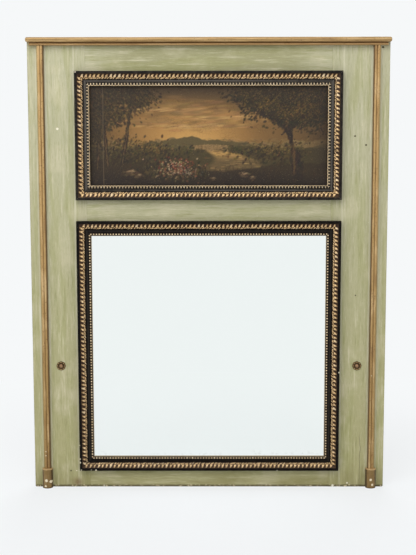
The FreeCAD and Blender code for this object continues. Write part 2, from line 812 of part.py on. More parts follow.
def mitred_member(name, section, length, angle, x, z):
    """A moulding padded to the frame's length and mitred at both ends.

    It is made along X with its outer edge on top, then turned about Y into its place.
    """
    outline = []
    for corner in section:
        point = (f"{FRONT} - ({corner[1]})", f"-({corner[0]})")
        outline.append(point + tuple(corner[2:]))
    body = padded(name, "YZ_Plane", outline, length, symmetric=True)
    pad = body.Tip
    for side, end in ((1, "right"), (-1, "left")):
        tip = f"{length} / 2 + {CUT_MARGIN}"
        toe = f"{length} / 2 - sizes.frame_face - {CUT_MARGIN}"
        wedge = (
            (f"{side} * ({tip})", f"{CUT_MARGIN}"),
            (f"{side} * ({tip})", f"-sizes.frame_face - {CUT_MARGIN}"),
            (f"{side} * ({toe})", f"-sizes.frame_face - {CUT_MARGIN}"),
        )
        mitre = body.newObject("PartDesign::Pocket", f"{name}_mitre_{end}")
        mitre.Profile = body_sketch(body, f"{name}_wedge_{end}", "XZ_Plane", wedge)
        mitre.Type = "ThroughAll"
        mitre.SideType = "Symmetric"
        body.Tip = mitre
    doc.recompute()
    if body.Tip.Shape.Volume >= pad.Shape.Volume:
        raise RuntimeError(f"the mitres of {name} cut nothing")
    body.Placement.Rotation = Rotation(WALL_WAY, angle)
    place(body, x=x, z=z)
    return body


for picture, frame_section, foot, height in (
    ("painting", FRAME_SECTION, PAINTING_FOOT, PAINTING_HEIGHT),
    ("mirror", REBATED_SECTION, MIRROR_FOOT, MIRROR_HEIGHT),
):
    for side, length, angle, x, z in (
        ("top", FRAME_WIDTH, 0, "0", f"{foot} + {height}"),
        ("bottom", FRAME_WIDTH, 180, "0", foot),
        ("left", height, -90, f"-{FRAME_WIDTH} / 2", f"{foot} + {height} / 2"),
        ("right", height, 90, f"{FRAME_WIDTH} / 2", f"{foot} + {height} / 2"),
    ):
        for piece, section in (
            ("frame", frame_section),
            ("leaf_band", LEAF_SECTION),
            ("beads", BEAD_SECTION),
        ):
            name = f"{picture}_{piece}_{side}"
            if piece == "frame":
                blank = mitred_member(name + "_blank", section, length, angle, x, z)
                keep(cut(name, blank, frame_screw_holes), name)
            else:
                keep(mitred_member(name, section, length, angle, x, z), name)

# ---------------------------------------------------------------- rosettes

# Stamped rosette with a raised rim, held by a nail whose domed head is its centre.
left_rosette = turned(
    "left_rosette",
    (
        ("sizes.rosette_shank_radius + sizes.pin_clearance", "0"),
        ("sizes.rosette_radius", "0"),
        ("sizes.rosette_radius", "sizes.rosette_rim / 2", "sizes.rosette_rim / 6", "right"),
        ("sizes.rosette_radius - sizes.rosette_rim / 2", "sizes.rosette_rim"),
        ("sizes.rosette_radius - sizes.rosette_rim", "sizes.rosette_dish"),
        ("sizes.rosette_shank_radius + sizes.pin_clearance", "sizes.rosette_dish"),
    ),
)
left_rosette.Placement.Rotation = Rotation(UP, 180)
place(left_rosette, x=f"-{STILE_CENTRE}", y=FRONT, z="sizes.rosette_height")
keep(left_rosette, "left_rosette")
keep(mirrored("right_rosette", left_rosette), "right_rosette")

TOWARDS_FRONT = Rotation(RIGHT_WAY, 90)
DOME_RADIUS = "((sizes.boss_radius ^ 2 / sizes.boss_height + sizes.boss_height) / 2)"
dome = doc.addObject("Part::Sphere", "rosette_dome")
bind(dome, Radius=DOME_RADIUS, Angle1=f"asin(({DOME_RADIUS} - sizes.boss_height) / {DOME_RADIUS})")
dome.Angle2 = 90
dome.Placement.Rotation = TOWARDS_FRONT
place(
    dome,
    x=f"-{STILE_CENTRE}",
    y=f"{FRONT} - sizes.rosette_dish + {DOME_RADIUS} - sizes.boss_height",
    z="sizes.rosette_height",
)
shank = doc.addObject("Part::Cylinder", "rosette_shank")
bind(
    shank,
    Radius="sizes.rosette_shank_radius",
    Height="sizes.rosette_shank_length + sizes.rosette_dish + sizes.boss_height / 2",
)
shank.Placement.Rotation = TOWARDS_FRONT
place(
    shank,
    x=f"-{STILE_CENTRE}",
    y=f"{FRONT} + sizes.rosette_shank_length",
    z="sizes.rosette_height",
)
left_rosette_nail = fuse("left_rosette_nail", dome, shank)
keep(left_rosette_nail, "left_rosette_nail")
keep(mirrored("right_rosette_nail", left_rosette_nail), "right_rosette_nail")

# ---------------------------------------------------------------- canvas and stretcher

CANVAS_WIDTH = f"({OPENING_WIDTH} - 2 * sizes.canvas_gap)"
CANVAS_LOW = f"({PAINTING_LOW} + sizes.canvas_gap)"
CANVAS_HEIGHT = f"({PAINTING_HIGH} - {PAINTING_LOW} - 2 * sizes.canvas_gap)"
BARS_WIDTH = f"({CANVAS_WIDTH} - 2 * sizes.canvas_thickness)"
BARS_LOW = f"({CANVAS_LOW} + sizes.canvas_thickness)"
BARS_HEIGHT = f"({CANVAS_HEIGHT} - 2 * sizes.canvas_thickness)"
BARS_FRONT = f"({FRONT} + sizes.canvas_thickness)"
BARS_MIDDLE = f"({BARS_FRONT} + sizes.bar_thickness / 2)"

# Canvas: stretched over the bars' front and turned over their outer edges.
canvas_block = box(
    "canvas_block",
    (f"-{CANVAS_WIDTH} / 2", FRONT, CANVAS_LOW),
    (CANVAS_WIDTH, "sizes.canvas_thickness + sizes.canvas_turn", CANVAS_HEIGHT),
)
canvas_inside = box(
    "canvas_inside",
    (f"-{BARS_WIDTH} / 2", BARS_FRONT, BARS_LOW),
    (BARS_WIDTH, f"sizes.canvas_turn + {CUT_MARGIN}", BARS_HEIGHT),
)
keep(cut("canvas", canvas_block, canvas_inside, tack_holes), "canvas")

# Long bars at top and bottom, mortised for the tongues of the upright bars and slotted
# beside them for the keys that tighten the canvas.
SIDE_HEIGHT = f"({BARS_HEIGHT} - 2 * sizes.bar_width)"
SIDE_LOW = f"({BARS_LOW} + sizes.bar_width)"
TONGUE_WIDTH = "(sizes.bar_width - 2 * sizes.tongue_shoulder)"
TONGUE_FRONT = f"({BARS_MIDDLE} - sizes.tongue_thickness / 2)"
CROSS_TONGUE_WIDTH = "(sizes.crossbar_width - 2 * sizes.tongue_shoulder)"


def tongues(name, middle_x, width, spare):
    """The tongues of an upright bar, or with some spare the mortises that take them."""
    return box(
        name,
        (
            f"{middle_x} - {width} / 2 - {spare}",
            f"{TONGUE_FRONT} - {spare}",
            f"{SIDE_LOW} - sizes.tongue_length - {spare}",
        ),
        (
            f"{width} + 2 * {spare}",
            f"sizes.tongue_thickness + 2 * {spare}",
            f"{SIDE_HEIGHT} + 2 * sizes.tongue_length + 2 * {spare}",
        ),
    )


SIDE_X = f"({BARS_WIDTH} / 2 - sizes.bar_width / 2)"
UPRIGHTS = (
    ("left", f"(-{SIDE_X})", TONGUE_WIDTH),
    ("right", SIDE_X, TONGUE_WIDTH),
    ("middle", "0", CROSS_TONGUE_WIDTH),
)
bar_mortises = []
for side, middle_x, width in UPRIGHTS:
    bar_mortises.append(
        tongues(f"stretcher_mortises_{side}", middle_x, width, "sizes.joint_clearance")
    )

# Keys lie against the long bars' inner edges, in slots cut into the ends of the side bars
# behind their tongues.
BARS_BACK = f"({BARS_FRONT} + sizes.bar_thickness)"
SLOT_DEPTH = "((sizes.bar_thickness - sizes.tongue_thickness) / 2 - sizes.joint_clearance)"
key_boxes = []
key_slots = []
for side, way in (("left", -1), ("right", 1)):
    inner_x = f"{way} * ({BARS_WIDTH} / 2 - sizes.bar_width)"
    for end, key_low in (
        ("bottom", SIDE_LOW),
        ("top", f"({SIDE_LOW} + {SIDE_HEIGHT} - sizes.key_thickness)"),
    ):
        key_low_x = inner_x + (
            " - sizes.key_depth" if way < 0 else " + sizes.key_depth - sizes.key_length"
        )
        slot_low_x = inner_x + (" - sizes.key_depth - sizes.joint_clearance" if way < 0 else "")
        key_boxes.append(
            box(
                f"key_{side}_{end}",
                (key_low_x, f"{BARS_BACK} - {SLOT_DEPTH} + sizes.joint_clearance", key_low),
                (
                    "sizes.key_length",
                    f"{SLOT_DEPTH} - sizes.joint_clearance",
                    "sizes.key_thickness",
                ),
            )
        )
        key_slots.append(
            box(
                f"key_slot_{side}_{end}",
                (
                    slot_low_x,
                    f"{BARS_BACK} - {SLOT_DEPTH}",
                    f"{key_low} - sizes.joint_clearance",
                ),
                (
                    "sizes.key_depth + sizes.joint_clearance",
                    SLOT_DEPTH,
                    "sizes.key_thickness + 2 * sizes.joint_clearance",
                ),
            )
        )

for end, bar_low in (
    ("bottom", BARS_LOW),
    ("top", f"({BARS_LOW} + {BARS_HEIGHT} - sizes.bar_width)"),
):
    bar = box(
        f"stretcher_{end}_bar",
        (f"-{BARS_WIDTH} / 2", BARS_FRONT, bar_low),
        (BARS_WIDTH, "sizes.bar_thickness", "sizes.bar_width"),
    )
    keep(cut(f"stretcher_{end}", bar, *bar_mortises, tack_holes), f"stretcher_{end}")

for side, middle_x, width in UPRIGHTS[:2]:
    bar = box(
        f"stretcher_{side}_bar",
        (f"{middle_x} - sizes.bar_width / 2", BARS_FRONT, SIDE_LOW),
        ("sizes.bar_width", "sizes.bar_thickness", SIDE_HEIGHT),
    )
    blank = fuse(
        f"stretcher_{side}_blank", bar, tongues(f"stretcher_{side}_tongues", middle_x, width, "0")
    )
    keep(cut(f"stretcher_{side}", blank, *key_slots, tack_holes), f"stretcher_{side}")

crossbar = box(
    "crossbar_bar",
    ("-sizes.crossbar_width / 2", f"{BARS_FRONT} + sizes.crossbar_setback", SIDE_LOW),
    ("sizes.crossbar_width", "sizes.bar_thickness - sizes.crossbar_setback", SIDE_HEIGHT),
)
keep(
    fuse("stretcher_crossbar", crossbar, tongues("crossbar_tongues", "0", CROSS_TONGUE_WIDTH, "0")),
    "stretcher_crossbar",
)
keys = doc.addObject("Part::Compound", "stretcher_keys")
keys.Links = key_boxes
keep(keys, "stretcher_keys")

# ---------------------------------------------------------------- mirror plate and backing

GLASS_FRONT = f"({FRONT} - sizes.rebate_depth)"
GLASS_BACK = f"({GLASS_FRONT} + sizes.glass_thickness)"
keep(
    box(
        "mirror_glass",
        (
            f"-{OPENING_WIDTH} / 2 + sizes.glass_gap",
            GLASS_FRONT,
            f"{MIRROR_LOW} + sizes.glass_gap",
        ),
        (
            f"{OPENING_WIDTH} - 2 * sizes.glass_gap",
            "sizes.glass_thickness",
            f"{MIRROR_HIGH} - {MIRROR_LOW} - 2 * sizes.glass_gap",
        ),
    ),
    "mirror_glass",
)

# Glue blocks round the opening press the plate against the frame.
block_boxes = []
for way in (-1, 1):
    side_x = f"{way} * ({OPENING_WIDTH} / 2 - sizes.block_depth / 2) - sizes.block_depth / 2"
    along_x = f"{way} * {OPENING_WIDTH} / 4 - sizes.block_length / 2"
    middle_z = f"({MIRROR_LOW} + {MIRROR_HIGH}) / 2"
    quarter_z = f"{way} * ({MIRROR_HIGH} - {MIRROR_LOW}) / 4"
    for share in ("low", "high"):
        upright_z = f"{middle_z} {'-' if share == 'low' else '+'} {quarter_z}"
        block_boxes.append(
            box(
                f"side_block_{way + 1}_{share}",
                (side_x, GLASS_BACK, f"{upright_z} - sizes.block_length / 2"),
                ("sizes.block_depth", "sizes.block_thickness", "sizes.block_length"),
            )
        )
        level_z = MIRROR_LOW if share == "low" else f"{MIRROR_HIGH} - sizes.block_depth"
        block_boxes.append(
            box(
                f"level_block_{way + 1}_{share}",
                (along_x, GLASS_BACK, level_z),
                ("sizes.block_length", "sizes.block_thickness", "sizes.block_depth"),
            )
        )
blocks = doc.addObject("Part::Compound", "glass_blocks")
blocks.Links = block_boxes
keep(blocks, "glass_blocks")

# Backing boards, laid across the opening and nailed at their ends.
BACK_SPAN = f"({MIRROR_HIGH} - {MIRROR_LOW} + 2 * sizes.back_overlap)"
BACK_BOARD_HEIGHT = f"(({BACK_SPAN} - {BACK_BOARDS - 1} * sizes.back_gap) / {BACK_BOARDS})"
for number, name in enumerate(("back_board_lower", "back_board_middle", "back_board_upper")):
    step = f"{number} * ({BACK_BOARD_HEIGHT} + sizes.back_gap)"
    board = box(
        name + "_board",
        (
            f"-{OPENING_WIDTH} / 2 - sizes.back_overlap",
            BACK,
            f"{MIRROR_LOW} - sizes.back_overlap + {step}",
        ),
        (
            f"{OPENING_WIDTH} + 2 * sizes.back_overlap",
            "sizes.back_thickness",
            BACK_BOARD_HEIGHT,
        ),
    )
    keep(cut(name, board, back_nail_holes), name)

# ---------------------------------------------------------------- hanger plates

plate = box(
    "hanger_plate",
    (
        f"-{STILE_CENTRE} - sizes.hanger_width / 2",
        BACK,
        f"{PANEL_HEIGHT} - sizes.hanger_drop - sizes.hanger_height / 2",
    ),
    ("sizes.hanger_width", "sizes.hanger_thickness", "sizes.hanger_height"),
)
left_hanger = cut("left_hanger", plate, hanger_holes, hanger_screw_holes)
keep(left_hanger, "left_hanger")
keep(mirrored("right_hanger", left_hanger), "right_hanger")

# ---------------------------------------------------------------- check and write

doc.recompute()
for thing in doc.Objects:
    if "Invalid" in thing.State or "Error" in thing.State:
        raise RuntimeError(f"{thing.Name} failed: {thing.State}")
for node in nodes:
    if node.Shape.isNull() or not node.Shape.isValid() or not node.Shape.Solids:
        raise RuntimeError(f"{node.Label} has no valid solid")

os.makedirs("parts", exist_ok=True)
for node in nodes:
    node.Shape.exportStep(f"parts/{node.Label}.step")
    print(node.Label, len(node.Shape.Solids), round(node.Shape.Volume))
print(len(nodes), "nodes")
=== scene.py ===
import math

import bmesh
import bpy
import numpy as np
from mathutils import Matrix, Vector, noise


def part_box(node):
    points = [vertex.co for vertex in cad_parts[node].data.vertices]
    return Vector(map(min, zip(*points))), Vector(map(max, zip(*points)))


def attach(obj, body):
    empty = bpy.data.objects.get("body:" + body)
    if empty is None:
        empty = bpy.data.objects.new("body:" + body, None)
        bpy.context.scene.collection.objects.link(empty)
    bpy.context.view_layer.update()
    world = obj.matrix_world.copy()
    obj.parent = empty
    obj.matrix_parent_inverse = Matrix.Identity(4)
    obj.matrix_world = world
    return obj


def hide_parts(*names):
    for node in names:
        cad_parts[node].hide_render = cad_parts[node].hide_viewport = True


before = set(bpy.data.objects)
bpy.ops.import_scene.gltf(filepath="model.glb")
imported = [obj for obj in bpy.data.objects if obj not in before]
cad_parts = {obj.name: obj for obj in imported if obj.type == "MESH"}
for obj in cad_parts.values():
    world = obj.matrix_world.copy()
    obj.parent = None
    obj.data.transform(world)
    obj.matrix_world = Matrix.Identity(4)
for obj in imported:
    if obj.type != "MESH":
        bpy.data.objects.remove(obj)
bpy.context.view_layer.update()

# ---------------------------------------------------------------- stiles and rails
# Five pine boards, mortised, tenoned and pegged, make the panel. Front and edges carry
# brushed sage-green distemper, scuffed and grimy at the foot; the back was never painted.

BOARD_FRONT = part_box("top_rail")[0].y
PANEL_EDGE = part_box("right_stile")[1].x
FRAME_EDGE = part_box("mirror_frame_top")[1].x
ROD_LINE = (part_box("right_rod")[0].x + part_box("right_rod")[1].x) / 2
# Corners nearer than MERGE are one, and so are faces that meet at less than LEVEL.
MERGE = 0.00001
LEVEL = math.radians(0.5)
# Edges sharper and longer than this are rubbed round.
SHARP = math.radians(30)
LONG_EDGE = 0.02
# Faces narrower than this belong to a moulding or a rubbed edge and are shaded as round.
NARROW = 0.012
# Hand-planed pieces are cut this often along their length, and wander with this many bends
# to the metre. What is nearer than SWAY_FROM to the boards stays true to them.
SWAY_STEP = 0.015
SWAY_BENDS = 9
SWAY_FROM = 0.002
SWAY_FADE = 0.004
# Unless it is given a seed, the noise behind the wander differs from run to run.
SWAY_SEED = 24
noise.seed_set(SWAY_SEED)


def paint(red, green, blue):
    """A colour in the usual steps from 0 to 255, as a shader takes it."""
    steps = [channel / 255 for channel in (red, green, blue)]
    linear = [s / 12.92 if s <= 0.04045 else ((s + 0.055) / 1.055) ** 2.4 for s in steps]
    return (*linear, 1.0)


class Wire:
    """A socket of a finish. Sums written on it add the Math nodes that work them out."""

    def __init__(self, socket):
        self.socket = socket

    def node(self, kind, settings=(), sockets=(), out=0):
        """Any other node: its settings come first, then the values or links of its sockets."""
        tree = self.socket.id_data
        made = tree.nodes.new("ShaderNode" + kind)
        for name, setting in dict(settings).items():
            setattr(made, name, setting)
        for name, value in dict(sockets).items():
            if isinstance(value, Wire):
                tree.links.new(value.socket, made.inputs[name])
            else:
                made.inputs[name].default_value = value
        return Wire(made.outputs[out]) if len(made.outputs) else made

    def math(self, operation, *terms):
        return self.node("Math", {"operation": operation}, dict(enumerate(terms)))

    def __add__(self, other):
        return self.math("ADD", self, other)

    def __radd__(self, other):
        return self.math("ADD", other, self)

    def __sub__(self, other):
        return self.math("SUBTRACT", self, other)

    def __rsub__(self, other):
        return self.math("SUBTRACT", other, self)

    def __mul__(self, other):
        return self.math("MULTIPLY", self, other)

    def __rmul__(self, other):
        return self.math("MULTIPLY", other, self)

    def __abs__(self):
        return self.math("ABSOLUTE", self)

    def most(self, other):
        return self.math("MAXIMUM", self, other)

    def least(self, other):
        return self.math("MINIMUM", self, other)

    def sine(self):
        return self.math("SINE", self)

    def parts(self):
        """The x, y and z of a place or a direction."""
        return [self.node("SeparateXYZ", (), {0: self}, out=axis) for axis in range(3)]

    def stretched(self, x, y, z):
        return self.node("VectorMath", {"operation": "MULTIPLY"}, {0: self, 1: (x, y, z)})

    def grain(self, x, y, z, detail=3.0, rough=0.55, bend=0.0):
        """Smooth noise round a half, with that many ups and downs to the metre each way."""
        sockets = {"Vector": self.stretched(x, y, z), "Scale": 1.0, "Detail": detail}
        return self.node("TexNoise", (), {**sockets, "Roughness": rough, "Distortion": bend})

    def rise(self, low, high):
        """0 at low, 1 at high and a smooth step between them."""
        limits = {"Value": self, "From Min": low, "From Max": high}
        return self.node("MapRange", {"interpolation_type": "SMOOTHSTEP"}, limits)

    def over(self, under, cover):
        """Where this mask is 1 the cover shows, and where it is 0 what is under it."""
        return self.node("Mix", {"data_type": "RGBA"}, {0: self, 6: under, 7: cover}, out=2)

    def tinted(self, share, cover):
        """This colour with that share of another one over all of it."""
        return self.node("Mix", {"data_type": "RGBA"}, {0: share, 6: self, 7: cover}, out=2)

    def away(self, x, z):
        """Distance across the front from the point at that x and z."""
        flat = self.stretched(1, 0, 1)
        ends = {0: flat, 1: (x, 0, z)}
        return flat.node("VectorMath", {"operation": "DISTANCE"}, ends, out="Value")


def new_finish(name):
    """An empty material, and the place on the piece that its pattern reads."""
    material = bpy.data.materials.new(name)
    material.use_nodes = True
    material.node_tree.nodes.clear()
    coordinates = material.node_tree.nodes.new("ShaderNodeTexCoord")
    return material, Wire(coordinates.outputs["Object"])


def facing(place):
    """How far the surface faces right, towards the wall and up."""
    return place.node("NewGeometry", out="Normal").parts()


def coat(colour, roughness, relief, depth, **constants):
    """Ends a finish. The relief, from 0 to 1, stands up by depth in metres."""
    bump = relief.node("Bump", (), {"Distance": depth, "Height": relief})
    sockets = {"Base Color": colour, "Roughness": roughness, "Normal": bump}
    for name, value in constants.items():
        sockets[name.replace("_", " ")] = value
    relief.node("OutputMaterial", (), {"Surface": relief.node("BsdfPrincipled", (), sockets)})


def marks(place, spots, ragged=0.35):
    """A mask of ragged spots on the front: each is its x, its z and its radius."""
    uneven = place.grain(420, 420, 420, detail=2.0) * (2 * ragged) + (1 - ragged)
    mask = None
    for x, z, radius in spots:
        spot = (place.away(x, z) * uneven).rise(radius, radius * 0.7)
        mask = spot if mask is None else mask.most(spot)
    return mask


def bare_pine(place, upright, age=0.0):
    """Old unpainted pine: its colour, roughness and relief."""
    along = (34, 34, 1.6) if upright else (1.6, 34, 34)
    fine = (620, 620, 22) if upright else (22, 620, 620)
    rings = (place.grain(*along, detail=2.0, bend=0.6) * 46).sine() * 0.5 + 0.5
    fibres = place.grain(*fine, detail=4.0)
    stains = place.grain(5, 5, 5, detail=4.0)
    knot = place.node("TexVoronoi", (), {"Vector": place.stretched(6, 6, 3.4), "Scale": 1.0})
    body = (rings * 0.7).over(paint(176, 142, 98), paint(139, 101, 62))
    body = (fibres.rise(0.42, 0.7) * 0.5).over(body, paint(196, 166, 124))
    body = knot.rise(0.13, 0.05).over(body, paint(84, 52, 28))
    body = (stains.rise(0.46, 0.68) * 0.55).over(body, paint(104, 80, 54))
    body = body.tinted(age, paint(72, 54, 37))
    return body, 0.62 + fibres * 0.25, fibres * 0.6 + rings * 0.4


# Marks seen on the front of the boards: each is its x, its z and its radius.
PALE_SCUFFS = ((-0.462, 1.126, 0.0045), (0.391, 0.0035, 0.0045), (-0.332, 0.004, 0.0022))
PALE_SCUFFS += ((-0.522, 0.016, 0.004), (-0.419, 0.052, 0.002), (0.437, 0.012, 0.003))
DARK_KNOCKS = ((0.447, 1.103, 0.0034), (0.481, 1.076, 0.0036), (0.528, 1.370, 0.004))
DARK_KNOCKS += ((-0.275, 0.909, 0.002), (0.455, 0.612, 0.0026), (-0.437, 0.052, 0.003))
FOOT_STAIN = (-0.415, 0.015, 0.030)
CRACK_X = 0.4745
CRACK_TOP = 0.185


def sage_distemper(name, upright):
    """Brushed sage green on the front and edges, bare pine behind."""
    material, place = new_finish(name)
    x, y, z = place.parts()
    side = abs(x)
    strokes = place.grain(*((190, 40, 11) if upright else (11, 40, 190)), detail=5.0, rough=0.65)
    hairs = place.grain(*((800, 90, 40) if upright else (40, 90, 800)), detail=4.0)
    bands = place.grain(*((30, 9, 3.1) if upright else (3.6, 9, 24)), detail=4.0, bend=0.5)
    cloud = place.grain(8.3, 8.3, 8.3, detail=4.0)
    colour = z.rise(-0.1, 1.42).over(paint(168, 163, 116), paint(182, 179, 147))
    # The top rail is painted darker about its middle, as painted shade under the moulding.
    head = z.rise(1.1, 1.32) * side.rise(0.4, 0.22) * (0.0 if upright else 0.85)
    colour = head.over(colour, paint(150, 147, 106))
    colour = (bands.rise(0.46, 0.64) * 0.4).over(colour, paint(156, 156, 98))
    colour = (cloud.rise(0.5, 0.68) * 0.38).over(colour, paint(205, 197, 165))
    colour = (strokes.rise(0.52, 0.7) * 0.48).over(colour, paint(217, 211, 180))
    colour = (strokes.rise(0.47, 0.31) * 0.54).over(colour, paint(138, 138, 84))
    colour = (hairs.rise(0.56, 0.68) * 0.4).over(colour, paint(126, 123, 76))
    colour = (hairs.rise(0.42, 0.31) * 0.32).over(colour, paint(222, 216, 188))
    # Paint lies thicker and paler along the frames and rods that it was brushed up against.
    ridge = abs(side - (FRAME_EDGE + 0.004)).rise(0.0045, 0.001)
    ridge = ridge.most(abs(abs(side - ROD_LINE) - 0.014).rise(0.004, 0.001))
    ridge = ridge * (0.35 + strokes)
    colour = (ridge * 0.42).over(colour, paint(214, 209, 182))
    grime = (z + cloud * 0.1).rise(0.16, 0.03) * bands.rise(0.34, 0.6)
    colour = (grime * 0.6).over(colour, paint(124, 116, 68))
    stain = (place.away(*FOOT_STAIN[:2]) + hairs * 0.012).rise(FOOT_STAIN[2], 0.006)
    colour = (stain * 0.75).over(colour, paint(106, 76, 36))
    crack = abs(x - CRACK_X + (cloud - 0.5) * 0.03).rise(0.0011, 0.0004)
    crack = crack * z.rise(CRACK_TOP, CRACK_TOP * 0.8)
    colour = (crack * 0.75).over(colour, paint(84, 76, 46))
    # The bottom edge is coloured dark, with chips that show pale wood.
    foot = (z + (hairs - 0.5) * 0.006).rise(0.0082, 0.0045)
    chips = place.grain(150, 150, 150, detail=3.0)
    colour = (foot * 0.9).over(colour, paint(80, 70, 42))
    colour = (foot * chips.rise(0.56, 0.62)).over(colour, paint(206, 192, 158))
    edge = (side + (chips - 0.5) * 0.004).rise(PANEL_EDGE - 0.0022, PANEL_EDGE - 0.0005)
    colour = (edge * 0.5).over(colour, paint(132, 124, 88))
    specks = place.grain(330, 330, 330, detail=1.0)
    colour = (specks.rise(0.735, 0.76) * 0.6).over(colour, paint(104, 98, 64))
    colour = (specks.rise(0.262, 0.24) * 0.7).over(colour, paint(222, 216, 192))
    colour = marks(place, DARK_KNOCKS).over(colour, paint(78, 72, 44))
    colour = marks(place, PALE_SCUFFS).over(colour, paint(232, 226, 204))
    pine, pine_rough, pine_relief = bare_pine(place, upright)
    back = facing(place)[1].rise(0.5, 0.7) * y.rise(0, 0.004)
    colour = back.over(colour, pine)
    rough = back * pine_rough + (1 - back) * (0.6 + strokes * 0.2 - ridge * 0.1)
    relief = strokes * 0.45 + hairs * 0.3 + cloud * 0.2 + ridge * 0.2 - crack * 0.8
    coat(colour, rough, relief * (1 - back) + pine_relief * back, 0.0007)
    return material


def in_scene(name, data):
    """Adds a mesh, a lamp or a camera to the scene."""
    thing = bpy.data.objects.new(name, data)
    bpy.context.scene.collection.objects.link(thing)
    return thing


def settle(name, mesh, finish, slot, *stands_for):
    """Adds a finished piece to the panel, in place of the CAD pieces that it stands for."""
    piece = in_scene(name, mesh)
    mesh.materials.clear()
    mesh.materials.append(finish)
    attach(piece, "root")
    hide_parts(*stands_for)
    return piece


def refinish(node, finish):
    """Gives a CAD piece that stays its own finish."""
    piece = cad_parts[node]
    if not piece.material_slots:
        piece.data.materials.append(finish)
    for material_slot in piece.material_slots:
        material_slot.material = finish


def hand_planed(shape, node, sway, axis, ends):
    """Lets what stands in front of the boards wander by sway along that axis, in its box."""
    low, high = (corner[axis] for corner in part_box(node))
    across = Vector([float(step == axis) for step in range(3)])
    cuts = [low + cut * SWAY_STEP for cut in range(1, int((high - low) / SWAY_STEP))]
    cuts += [low + end for end in ends] + [high - end for end in ends]
    for cut in cuts:
        everything = list(shape.verts) + list(shape.edges) + list(shape.faces)
        spot = across * cut
        bmesh.ops.bisect_plane(shape, geom=everything, plane_co=spot, plane_no=across)
    shape.verts.index_update()
    least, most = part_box(node)
    for vertex in shape.verts:
        bend = noise.noise_vector((vertex.co[axis] * SWAY_BENDS, low, 3.7 * axis))
        standing = max(0.0, BOARD_FRONT - SWAY_FROM - vertex.co.y)
        free = sway * min(1.0, standing / SWAY_FADE)
        vertex.co[2 - axis] += bend.x * free
        vertex.co.y += (0.5 + 0.5 * bend.y) * free
        for way in range(3):
            vertex.co[way] = min(max(vertex.co[way], least[way]), most[way])
    # The cuts leave the faces in no fixed order, so they are laid down again in one.
    points = [vertex.co.copy() for vertex in shape.verts]
    rounds = []
    for face in shape.faces:
        corners = [vertex.index for vertex in face.verts]
        first = corners.index(min(corners))
        rounds.append(corners[first:] + corners[:first])
    shape.clear()
    laid = [shape.verts.new(point) for point in points]
    for corners in sorted(rounds):
        shape.faces.new([laid[corner] for corner in corners])


def softened(node, finish, slot, arris=0.001, sway=0.0, axis=2, ends=()):
    """A CAD piece with its long edges rubbed round, and hand-planed along its axis by sway."""
    shape = bmesh.new()
    shape.from_mesh(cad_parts[node].data)
    bmesh.ops.remove_doubles(shape, verts=shape.verts, dist=MERGE)
    bmesh.ops.dissolve_limit(shape, angle_limit=LEVEL, verts=shape.verts, edges=shape.edges)
    sharp = [
        edge
        for edge in shape.edges
        if edge.is_manifold and edge.calc_length() > LONG_EDGE and edge.calc_face_angle() > SHARP
    ]
    rounding = {"offset": arris, "offset_type": "OFFSET", "segments": 2, "profile": 0.5}
    bmesh.ops.bevel(shape, geom=sharp, affect="EDGES", clamp_overlap=True, **rounding)
    if sway:
        hand_planed(shape, node, sway, axis, ends)
    round_shaded = [2 * face.calc_area() / face.calc_perimeter() < NARROW for face in shape.faces]
    mesh = bpy.data.meshes.new(node)
    shape.to_mesh(mesh)
    shape.free()
    mesh.set_sharp_from_angle(angle=SHARP)
    mesh.polygons.foreach_set("use_smooth", round_shaded)
    return settle(node + "_worked", mesh, finish, slot, node)


upright_sage = sage_distemper("sage distemper on a stile", True)
level_sage = sage_distemper("sage distemper on a rail", False)
for stile in ("left_stile", "right_stile"):
    softened(stile, upright_sage, "sage_paint", arris=0.0014)
for rail in ("top_rail", "middle_rail", "bottom_rail"):
    softened(rail, level_sage, "sage_paint")

# ---------------------------------------------------------------- joint pegs
# Riven oak pegs driven from the back lock the tenons in the stiles. Their ends show there,
# darker than the pine, with the pores of end grain.

peg_oak, place = new_finish("oak end grain")
pores = place.grain(900, 900, 900, detail=2.0)
rays = place.grain(90, 90, 90, detail=3.0)
colour = rays.rise(0.35, 0.65).over(paint(121, 88, 52), paint(92, 64, 37))
colour = (pores.rise(0.56, 0.66) * 0.7).over(colour, paint(52, 34, 19))
coat(colour, 0.6 + rays * 0.2, pores, 0.0003)
refinish("joint_pegs", peg_oak)

# ---------------------------------------------------------------- gilt rods and plinths
# Two reeds run side by side up each rod, from a round-fronted plinth block to the top
# moulding. All are planed pine, gessoed, bronze-gilt over brown bole and glued to the boards.

PLINTH_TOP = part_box("left_plinth")[1].z
GESSO_CHIPS = ((-0.5125, 0.0255, 0.0052), (-0.4985, 0.0215, 0.0052), (-0.515, 0.0075, 0.0035))
GESSO_CHIPS += ((0.509, 0.028, 0.0045), (0.514, 0.012, 0.004), (-0.5135, 0.117, 0.0022))
GESSO_CHIPS += ((-0.5137, 0.104, 0.0022), (0.5075, 0.36, 0.002))


def gilding(place, upright):
    """Rubbed bronze gilding over bole: its colour, roughness and relief."""
    height = place.parts()[2]
    streaks = place.grain(*((420, 420, 14) if upright else (14, 420, 420)), detail=4.0)
    patches = place.grain(*((60, 60, 11) if upright else (11, 60, 60)), detail=4.0)
    dirt = place.grain(180, 180, 180, detail=4.0)
    gold = height.rise(-0.05, 1.3).over(paint(157, 125, 73), paint(182, 148, 94))
    gold = (patches.rise(0.5, 0.66) * 0.6).over(gold, paint(210, 180, 132))
    gold = (patches.rise(0.46, 0.3) * 0.65).over(gold, paint(134, 102, 60))
    gold = (streaks.rise(0.54, 0.72) * 0.4).over(gold, paint(222, 196, 150))
    gold = (dirt.rise(0.57, 0.7) * 0.6).over(gold, paint(104, 72, 38))
    return gold, 0.42 + dirt * 0.25, streaks * 0.5 + dirt * 0.5


